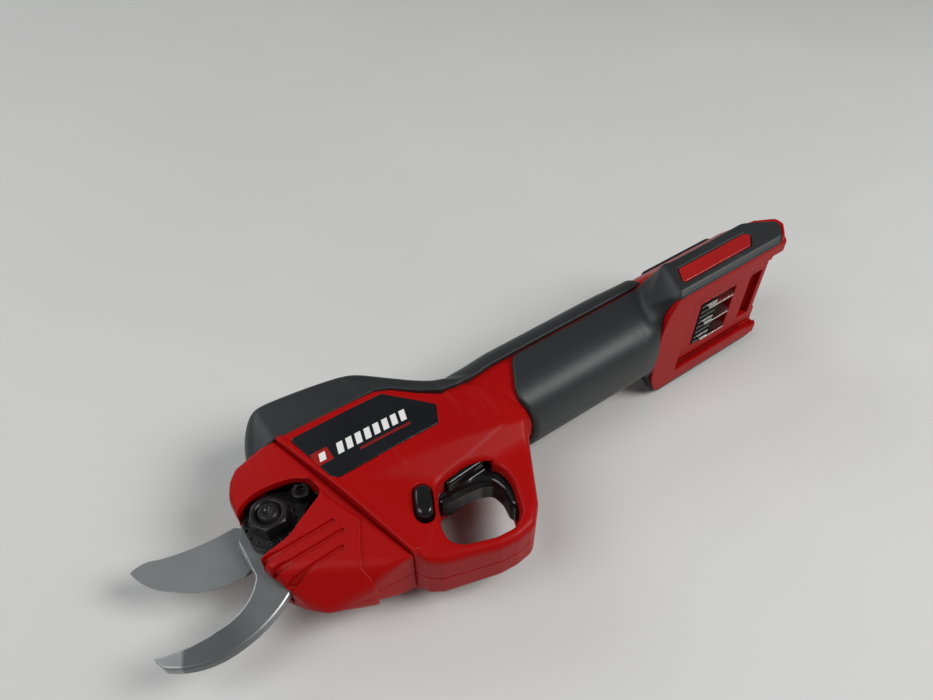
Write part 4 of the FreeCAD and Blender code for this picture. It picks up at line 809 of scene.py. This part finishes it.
def grip(left):
    """Side pad that flares into the bumper round the battery end."""
    s = Space((102.0, -21.0, -1.2), (263.5, 12.5, 34.6), 0.42)
    body = bumper_body(s)
    core = flared(s, handle_body(s), foot_body(s))
    core = both(core, s.x - FOOT_REAR) - SKIN_GAP
    body = carve(body, core)
    body = carve(body, shoe_plan(s, 0.1, -10.9))
    body = both(body, 0.03 - s.z)
    panel = outline(INLAY, s.x, s.y) - 0.4
    body = carve(body, both(panel, 31.6 - s.z), 0.5)
    if not left:
        for post in (POSTS[3], POSTS[1]):
            body = carve(body, disc(*post, 3.3, s), 0.3)
    end = "left" if left else "right"
    skin("grip_and_bumper_" + end, s, body, rubber,
         replaces=("side_grip_" + end, "foot_bumper_" + end), faces=150000,
         mirror=not left)
    s = Space((191.0, -14.5, 30.5), (245.0, -2.0, 34.0), 0.25)
    inlay = meet(outline(INLAY, s.x, s.y), between(s.z, 31.62, 33.25), 0.6)
    skin("foot_inlay_panel_" + end, s, inlay, red_trim,
         replaces=("foot_inlay_" + end,), faces=30000, mirror=not left)


grip(True)
grip(False)


# ---- blades and pivot
def arc(a, through, b, steps=14):
    """Points of the circle arc from a to b, without its first point."""
    (x1, y1), (x2, y2), (x3, y3) = a, through, b
    d = 2 * (x1 * (y2 - y3) + x2 * (y3 - y1) + x3 * (y1 - y2))
    cx = ((x1 * x1 + y1 * y1) * (y2 - y3) + (x2 * x2 + y2 * y2) * (y3 - y1)
          + (x3 * x3 + y3 * y3) * (y1 - y2)) / d
    cy = ((x1 * x1 + y1 * y1) * (x3 - x2) + (x2 * x2 + y2 * y2) * (x1 - x3)
          + (x3 * x3 + y3 * y3) * (x2 - x1)) / d
    radius = math.hypot(x1 - cx, y1 - cy)
    start, middle, end = (math.atan2(y - cy, x - cx) for x, y in (a, through, b))
    whole = 2 * math.pi
    turn = (end - start) % whole
    if (middle - start) % whole > turn:
        turn -= whole
    return [(cx + radius * math.cos(start + turn * k / steps),
             cy + radius * math.sin(start + turn * k / steps)) for k in range(1, steps + 1)]


def traced(points):
    """An outline in which a pair of points (through, end) makes an arc."""
    line = [points[0]]
    for step in points[1:]:
        if isinstance(step[0], tuple):
            line += arc(line[-1], step[0], step[1])
        else:
            line.append(step)
    return line


def paint(piece, name, rule):
    """A value at every vertex, from its place in mm from the pivot."""
    mesh = piece.data
    spots = np.zeros(len(mesh.vertices) * 3, np.float32)
    mesh.vertices.foreach_get("co", spots)
    x, y, z = ((spots.reshape(-1, 3) - np.array(ORIGIN)) / MM).T
    mesh.attributes.new(name, "FLOAT", "POINT").data.foreach_set(
        "value", unit(rule(x, y, z)).astype(np.float32))


def hook():
    """The fixed lower blade, ground along both sides of its hook."""
    s = Space((-54.5, -36.0, 0.2), (26.5, 14.0, 6.0), 0.24)
    plan = outline(traced([
        (-11.4, 4.6), ((-14.2, -2.0), (-13.6, -10.0)), (-13.4, -14.0),
        ((-19.0, -20.6), (-31.0, -24.4)), ((-42.0, -24.2), (-52.8, -21.4)), (-50.9, -26.8),
        ((-40.0, -32.9), (-29.0, -34.1)), ((-16.0, -31.5), (-5.2, -26.0)), (2.0, -24.0),
        (23.0, -24.0), (24.5, -13.0), (10.4, -10.4), (10.4, -5.0), (12.6, 1.0),
        ((17.4, 3.4), (13.0, 6.8)), (9.0, 8.2), ((0.0, 12.2), (-9.6, 7.6))]), s.x, s.y)
    plate = meet(plan, between(s.z, HOOK_LOW, HOOK_HIGH), 0.35)
    outer = traced([
        (-50.9, -26.8), ((-40.0, -32.9), (-29.0, -34.1)), ((-16.0, -31.5), (-5.2, -26.0)),
        (10.0, -20.0), (10.0, -60.0), (-50.9, -60.0)])
    rim = -outline(outer, s.x, s.y)
    bevel = (s.z - HOOK_HIGH) * 0.80 + (0.8 + rim) * 0.60
    inner = traced([
        (-13.4, -10.0), (-13.4, -14.0), ((-19.0, -20.6), (-31.0, -24.4)),
        ((-42.0, -24.2), (-52.8, -21.4)), (-60.0, 10.0), (-13.0, 10.0)])
    edge = -outline(inner, s.x, s.y)
    plate = meet(plate, bevel, 0.2)
    plate = meet(plate, (s.z - HOOK_HIGH) * 0.80 + (0.3 + edge) * 0.60, 0.1)
    for x, y, radius in ((0.0, 0.0, 4.1), (11.5, -18.5, 2.0), (19.5, -18.5, 2.0),
                         (*LOCK_SCREW, 2.05)):
        plate = carve(plate, disc(x, y, radius, s))
    piece = skin("hook_blade_ground", s, plate, blade_steel,
                 replaces=("hook_blade",), faces=120000)

    # bare ground bevels, plus a painted highlight on the outer rim's bevel
    def ground(x, y, z):
        inside = outline(inner, x, y)
        near = 1.0 - unit((np.abs(inside) - 0.35) / 0.2)
        rim_here = unit((0.8 - np.abs(outline(outer, x, y))) / 0.25)
        tip = unit((-45.2 + 0.45 * (y + 27.0) - x) / 0.3)
        # painted highlight: the outer rim's bevel is painted brighter towards the neck
        painted_highlight = unit((x + 24.0) / 14.0) * 0.25 + 0.1
        return np.maximum(np.maximum(near * 0.9, rim_here * painted_highlight), tip * 0.3)

    # painted shade: the coat darker just behind the tip, fading out towards the neck
    def band(x, y, z):
        behind_tip = unit((x - 0.45 * (y + 27.0) + 44.9) / 0.4)
        return behind_tip * (1.0 - 0.8 * steps_up(-34.0, -8.0, x))

    paint(piece, "ground", ground)
    # band carries the painted shade
    paint(piece, "band", band)


def upper_blade():
    """The moving blade, with holes where the CAD's sector pins stand."""
    s = Space((-52.0, -14.0, -3.8), (14.0, 17.5, 1.8), 0.24)
    contour = traced([
        (-9.0, 8.67), (-12.0, 10.9), ((-28.0, 11.9), (-40.0, 14.8)),
        ((-46.4, 16.3), (-50.5, 15.2)), ((-47.7, 7.6), (-40.0, -1.0)),
        ((-30.0, -7.7), (-17.5, -10.3)), (-10.2, -7.22)])
    plan = join(outline(contour, s.x, s.y), disc(0.0, 0.0, 12.5, s))
    cutting = traced([
        (-50.5, 15.2), ((-47.7, 7.6), (-40.0, -1.0)), ((-30.0, -7.7), (-17.5, -10.3)),
        (-14.0, -30.0), (-60.0, -30.0), (-60.0, 15.0)])
    edge = -outline(cutting, s.x, s.y)
    plate = meet(plan, between(s.z, BLADE_LOW, BLADE_HIGH), 0.3)
    plate = meet(plate, (-2.6 - s.z) * 0.80 + (5.2 + edge) * 0.60, 0.3)
    plate = meet(plate, (s.z - BLADE_HIGH) * 0.93 + (0.45 + edge) * 0.36, 0.12)
    plate = carve(plate, disc(0.0, 0.0, 6.0, s))
    pins = np.array([v.co for v in frame["nodes"]["sector_pins"].data.vertices])
    pins = (pins - np.array(ORIGIN)) / MM
    pins = pins[pins[:, 2] > pins[:, 2].max() - 0.05]
    groups = []
    for x, y in pins[:, :2]:
        for group in groups:
            if math.hypot(group[0][0] - x, group[0][1] - y) < 4.0:
                group.append((x, y))
                break
        else:
            groups.append([(x, y)])
    for group in groups:
        spots = np.array(group)
        middle = (spots.min(0) + spots.max(0)) / 2
        plate = carve(plate, disc(float(middle[0]), float(middle[1]), 1.52, s))
    piece = skin("moving_blade_ground", s, plate, blade_steel,
                 replaces=("moving_blade",), faces=120000, body="blade")

    def ground(x, y, z):
        inside = np.abs(outline(cutting, x, y))
        top = unit((0.75 - inside) / 0.25) * 0.95
        under = unit((5.0 - inside) / 0.3) * unit((-0.8 - z) / 0.3)
        return np.maximum(top, under * 0.8)

    paint(piece, "ground", ground)


hook()
upper_blade()


def pivot_nut():
    s = Space((-8.4, -8.4, 8.2), (8.4, 8.4, 15.8), 0.14)
    radius = np.hypot(s.x, s.y)
    nut = meet(hexagon(s, FLATS, math.radians(30.0)), between(s.z, NUT_LOW, NUT_HIGH), 0.25)
    nut = meet(nut, (radius - 6.45) * 0.5 + (s.z - NUT_HIGH) * 0.866, 0.2)
    nut = carve(nut, radius - 4.02)
    nut = carve(nut, (radius - 4.7) * 0.7 + (14.9 - s.z) * 0.7, 0.1)
    skin("pivot_nut_chamfered", s, nut, oxide,
         replaces=("pivot_nut",), faces=60000)


pivot_nut()


# ---- controls, badges and foot
def badge_material(name):
    """Glossy black with a plain printed pattern of slanted bars."""
    n = Nodes(name)
    axes = n.add("ShaderNodeSeparateXYZ")
    n.link(n.place, axes.inputs[0])
    x, y = (n.math("DIVIDE", n.math("SUBTRACT", axes.outputs[k], ORIGIN[k]), MM) for k in (0, 1))
    slanted = n.math("ADD", x, n.math("MULTIPLY", y, -0.30))

    def window(value, low, high):
        soft = 0.06
        return n.math("MULTIPLY", n.ramp(value, low - soft, low + soft),
                      n.ramp(value, high + soft, high - soft))

    step = n.math("MODULO", n.math("SUBTRACT", slanted, 30.0), 3.9)
    bars = n.math("MULTIPLY", window(step, 0.5, 3.0), window(slanted, 30.2, 60.6))
    bars = n.math("MULTIPLY", bars, window(y, 3.6, 8.6))
    tile = n.math("MULTIPLY", window(x, 22.6, 29.4), window(y, 3.0, 9.4))
    mark = n.math("MULTIPLY", window(slanted, 23.0, 25.6), window(y, 4.4, 8.0))
    line = n.math("MULTIPLY", window(slanted, 39.0, 61.0), window(y, 0.8, 1.9))
    drift = n.noise(60.0, 3.0)
    colours = n.mix(n.ramp(drift, 0.3, 0.7), (0.0050, 0.0055, 0.0075), (0.0085, 0.0090, 0.0120))
    colours = n.mix(n.math("MAXIMUM", tile, n.math("MULTIPLY", line, 0.75)), colours,
                    (0.30, 0.008, 0.006))
    colours = n.mix(n.math("MAXIMUM", bars, mark), colours, (0.78, 0.78, 0.77))
    fine = n.noise(2400.0, 2.0)
    n.set(Base_Color=colours, Roughness=n.ramp(fine, 0.3, 0.7, 0.24, 0.32))
    n.relief(fine, 0.2, 0.000008)
    return n.material


badge_print = badge_material("badge_print")


def badge(left):
    s = Space((18.0, -7.0, 15.5), (77.0, 22.0, 22.4), 0.24)
    plate = meet(outline(BADGE, s.x, s.y), head_limit(s) - 0.05, 0.2)
    plate = both(plate, -head_limit(s) - 0.82)
    end = "left" if left else "right"
    skin("badge_plate_" + end, s, plate, badge_print,
         replaces=("badge_" + end,), faces=40000, mirror=not left)


def lock_button():
    s = Space((38.0, -38.5, -13.6), (57.0, -20.0, 20.6), 0.25)
    cap = meet(lock_slot(s, 3.8, 3.1), between(s.z, 12.7, 19.7), 0.3)
    along = (s.x - LOCK[0]) * math.cos(LOCK_TURN) + (s.y - LOCK[1]) * math.sin(LOCK_TURN)
    dome = s.z - 19.7 + 0.032 * along ** 2 + 0.07 * np.maximum(lock_slot(s, 4.1, 0.0), 0.0) ** 2
    cap = meet(cap, dome, 1.2)
    bolt = join(cap, both(disc(*LOCK, 2.15, s), between(s.z, -12.9, 13.0)), 0.3)
    skin("lock_button_domed", s, bolt, black_gloss,
         replaces=("lock_bolt",), faces=40000, body="lock")


def trigger_lever():
    s = Space((50.0, -47.5, -12.8), (98.0, -16.5, 12.8), 0.3)
    w = np.abs(s.z)
    plan = shape(s, [
        (52.0, -17.9, 1), (51.4, -23.6, 2), (54.6, -26.2, 3), (66.0, -27.0, 10), (73.0, -28.2, 8),
        (77.4, -31.4, 5), (78.3, -37.0, 8), (76.9, -43.0, 3), (77.8, -45.6, 1.4), (80.6, -44.4, 2),
        (82.6, -38.0, 8), (83.0, -30.0, 6), (86.0, -24.6, 4), (96.5, -24.0, 1), (96.5, -20.6, 1),
        (80.0, -19.4, 6), (62.0, -17.9, 6)])
    lever = meet(plan, w - 6.5, 2.4)
    wings = shape(s, [
        (60.2, -21.4), (78.5, -20.9), (78.5, -24.9), (71.0, -25.2), (60.2, -26.0)], 1.2)
    lever = join(lever, meet(wings, w - 11.9, 1.6), 1.6)
    rib = np.abs(shape(s, [
        (54.6, -27.2), (66.0, -27.9), (73.4, -29.2), (78.4, -32.0), (79.2, -37.0), (79.2, -20.0),
        (54.6, -20.0)], 3.0))
    rib = np.hypot(rib, np.maximum(w - 3.6, 0.0)) - 0.9
    rib = both(rib, 56.0 - s.x, -36.0 - s.y)
    lever = join(lever, both(rib, s.y + 25.0), 1.2)
    lever = carve(lever, disc(*PIVOT_TRIGGER, PIN, s))
    skin("trigger_finger_lever", s, lever, black_gloss,
         replaces=("trigger",), faces=60000, body="trigger_lever")


def shoe():
    """The red plate with two undercut rails, open at the rear for the pack."""
    s = Space((178.8, -18.4, -31.2), (259.2, -10.2, 31.2), 0.33)
    w = np.abs(s.z)
    block = shoe_plan(s, 0.0, SHOE_TOP)
    block = meet(block, SHOE_LOW - s.y, 0.9)
    rear = np.where(w < 24.0, 252.0 + 1.2 * (s.y + 14.7), 258.0 + 0.8 * np.minimum(s.y + 15.0, 0))
    block = meet(block, s.x - rear, 0.4)
    channel = both(w - 22.5, s.y + 14.7, 197.0 - s.x)
    groove = both(between(w, 19.5, 25.5), between(s.y, -15.0, -12.6), 197.0 - s.x)
    block = carve(block, join(channel, groove), 0.3)
    block = carve(block, both(w - TERMINAL_HALF, between(s.x, *TERMINALS)), 0.3)
    latch = both(w - 14.0, between(s.x, 241.0, 249.0), s.y + 11.8)
    block = carve(block, latch, 0.3)
    skin("battery_shoe_rails", s, block, red,
         replaces=("battery_shoe",), faces=90000)


def control_panel():
    s = Space((204.5, 17.6, -9.6), (255.5, 23.6, 9.6), 0.24)
    w = np.abs(s.z)
    side = shape(s, [
        (206.0, 18.5), (206.0, 22.4, 3), (218.0, 22.3), (251.0, 22.1, 5), (254.0, 18.5)], 0.6)
    dome = s.y - 22.4 + 0.012 * w ** 2
    panel = meet(meet(side, w - 8.8, 1.6), dome, 1.0)
    panel = carve(panel, both(between(s.x, *BUTTON), w - BUTTON_HALF), 0.5)
    window = both(between(s.x, 225.6, 246.4), w - 2.9, 22.25 - s.y)
    panel = carve(panel, window, 0.2)
    skin("switch_panel_domed", s, panel, black_hard,
         replaces=("switch_panel",), faces=50000)


def pivot_bolt():
    s = Space((-8.4, -8.4, -14.9), (8.4, 8.4, 17.0), 0.16)
    radius = np.hypot(s.x, s.y)
    angle = np.arctan2(s.y, s.x)
    head = meet(hexagon(s, FLATS), between(s.z, -14.4, -9.9), 0.25)
    head = meet(head, (radius - FLATS) * 0.5 - (s.z + 14.4) * 0.866, 0.2)
    pitch, depth = 1.25, 0.42
    turn = (s.z / pitch - angle / (2 * math.pi)) % 1.0
    thread = depth * np.abs(turn - 0.5) * 2.0 * unit((s.z - 7.0) / 0.6)
    shank = meet(radius - 3.98 + thread, between(s.z, -10.0, 16.4), 0.2)
    shank = meet(shank, (radius - 3.1) * 0.7 + (s.z - 16.4) * 0.7, 0.2)
    dimple = np.sqrt(radius ** 2 + (s.z - 17.6) ** 2) - 1.9
    bolt = carve(join(head, shank), dimple, 0.2)
    skin("pivot_bolt_threaded", s, bolt, oxide,
         replaces=("pivot_bolt",), faces=90000)


def lock_parts():
    """Notched plate under the pivot nut, and the socket screw that holds it."""
    s = Space((-13.0, -11.6, 4.8), (19.0, 12.6, 9.2), 0.17)
    plan = outline(traced([
        (-9.6, 4.6), ((-1.0, 11.6), (9.0, 9.4)), (15.2, 7.4), ((17.7, 3.9), (15.4, 0.2)),
        (6.2, -8.2), ((-3.0, -10.9), (-9.9, -4.6))]), s.x, s.y)
    plate = meet(plan, between(s.z, 5.2, 8.5), 0.3)
    plate = carve(plate, disc(0.0, 0.0, 4.05, s))
    plate = carve(plate, disc(*LOCK_SCREW, 2.05, s))
    angle = np.arctan2(s.y, s.x)
    radius = np.hypot(s.x, s.y)
    step = math.radians(24.0)
    beside = ((angle + step / 2) % step - step / 2) * 8.9
    dots = np.hypot(radius - 8.9, beside) - 0.75
    plate = carve(plate, both(dots, 7.5 - s.z), 0.2)
    skin("lock_plate_notched", s, plate, oxide,
         replaces=("lock_plate",), faces=60000)
    s = Space((9.6, -0.8, 0.9), (18.8, 8.4, 13.2), 0.15)
    reach = disc(*LOCK_SCREW, 0.0, s)
    screw = both(reach - 2.0, between(s.z, 1.3, 9.0))
    head = meet(reach - 3.5, between(s.z, 8.6, 12.6), 0.5)
    head = carve(head, meet(reach - 2.6, 12.2 - s.z, 0.1), 0.2)
    head = carve(head, both(hexagon(s, 1.9, 0.0, LOCK_SCREW), 10.2 - s.z), 0.1)
    skin("lock_screw_socket", s, join(screw, head), oxide,
         replaces=("lock_screw",), faces=40000)


badge(True)
badge(False)
lock_button()
trigger_lever()
shoe()
control_panel()
pivot_bolt()
lock_parts()


# ---- setting, light and camera
def tool_to_row(x, y, z):
    return ORIGIN + Vector((x, y, z)) * MM


def direction(x, y, z):
    return Vector((x, y, z)).normalized()


floor_size = 3.0
bpy.ops.mesh.primitive_grid_add(x_subdivisions=2, y_subdivisions=2, size=floor_size)
floor = bpy.context.object
floor.name = "floor"
lie = Vector((0, 0, 1)).rotation_difference(direction(0.067, 0.0, 0.998))
floor.rotation_euler = lie.to_euler()
floor.location = tool_to_row(190.0, -10.0, -33.25)
ground = Nodes("pale_floor")
ground.set(Base_Color=ground.mix(ground.ramp(ground.noise(3.0, 3.0), 0.35, 0.65),
                                 (0.60, 0.602, 0.588), (0.635, 0.637, 0.622)),
           Roughness=ground.ramp(ground.noise(40.0, 3.0), 0.3, 0.7, 0.62, 0.72))
ground.relief(ground.noise(400.0, 3.0), 0.1, 0.0002)
floor.data.materials.append(ground.material)


def area(name, spot, aim, size, power, colour=(1.0, 1.0, 1.0)):
    light = bpy.data.lights.new(name, "AREA")
    light.shape, light.size, light.energy, light.color = "DISK", size, power, colour
    holder = bpy.data.objects.new(name, light)
    holder.location = spot
    holder.rotation_euler = (Vector(aim) - Vector(spot)).to_track_quat("-Z", "Y").to_euler()
    scene.collection.objects.link(holder)


middle = tool_to_row(90.0, -5.0, 0.0)
COOL = (0.97, 0.985, 1.0)
area("overhead_light", middle + Vector((0.75, -0.72, 0.98)), middle, 0.75, 14.0,
     (1.0, 0.99, 0.975))
area("left_light", middle + Vector((-0.95, 0.12, 1.35)), middle, 1.1, 11.0, COOL)
area("back_light", middle + Vector((-0.45, 1.3, 0.95)), middle, 0.9, 5.2, COOL)

world = bpy.data.worlds.new("soft_room")
world.use_nodes = True
world.node_tree.nodes["Background"].inputs[0].default_value = (0.96, 0.98, 1.0, 1.0)
world.node_tree.nodes["Background"].inputs[1].default_value = 0.12
scene.world = world
scene.view_settings.view_transform = "Standard"

camera_data = bpy.data.cameras.new("view")
camera_data.sensor_width, camera_data.lens = 36.0, 28.94
camera_data.clip_start = 0.01
camera = bpy.data.objects.new("view", camera_data)
scene.collection.objects.link(camera)
forward, up = direction(0.38490, 0.55813, -0.73508), direction(0.42677, 0.59856, 0.67793)
right = forward.cross(up).normalized()
up = right.cross(forward)
turn = Matrix((right, up, -forward)).transposed().to_4x4()
camera.matrix_world = Matrix.Translation(tool_to_row(-20.323, -156.043, 251.797)) @ turn
scene.camera = camera
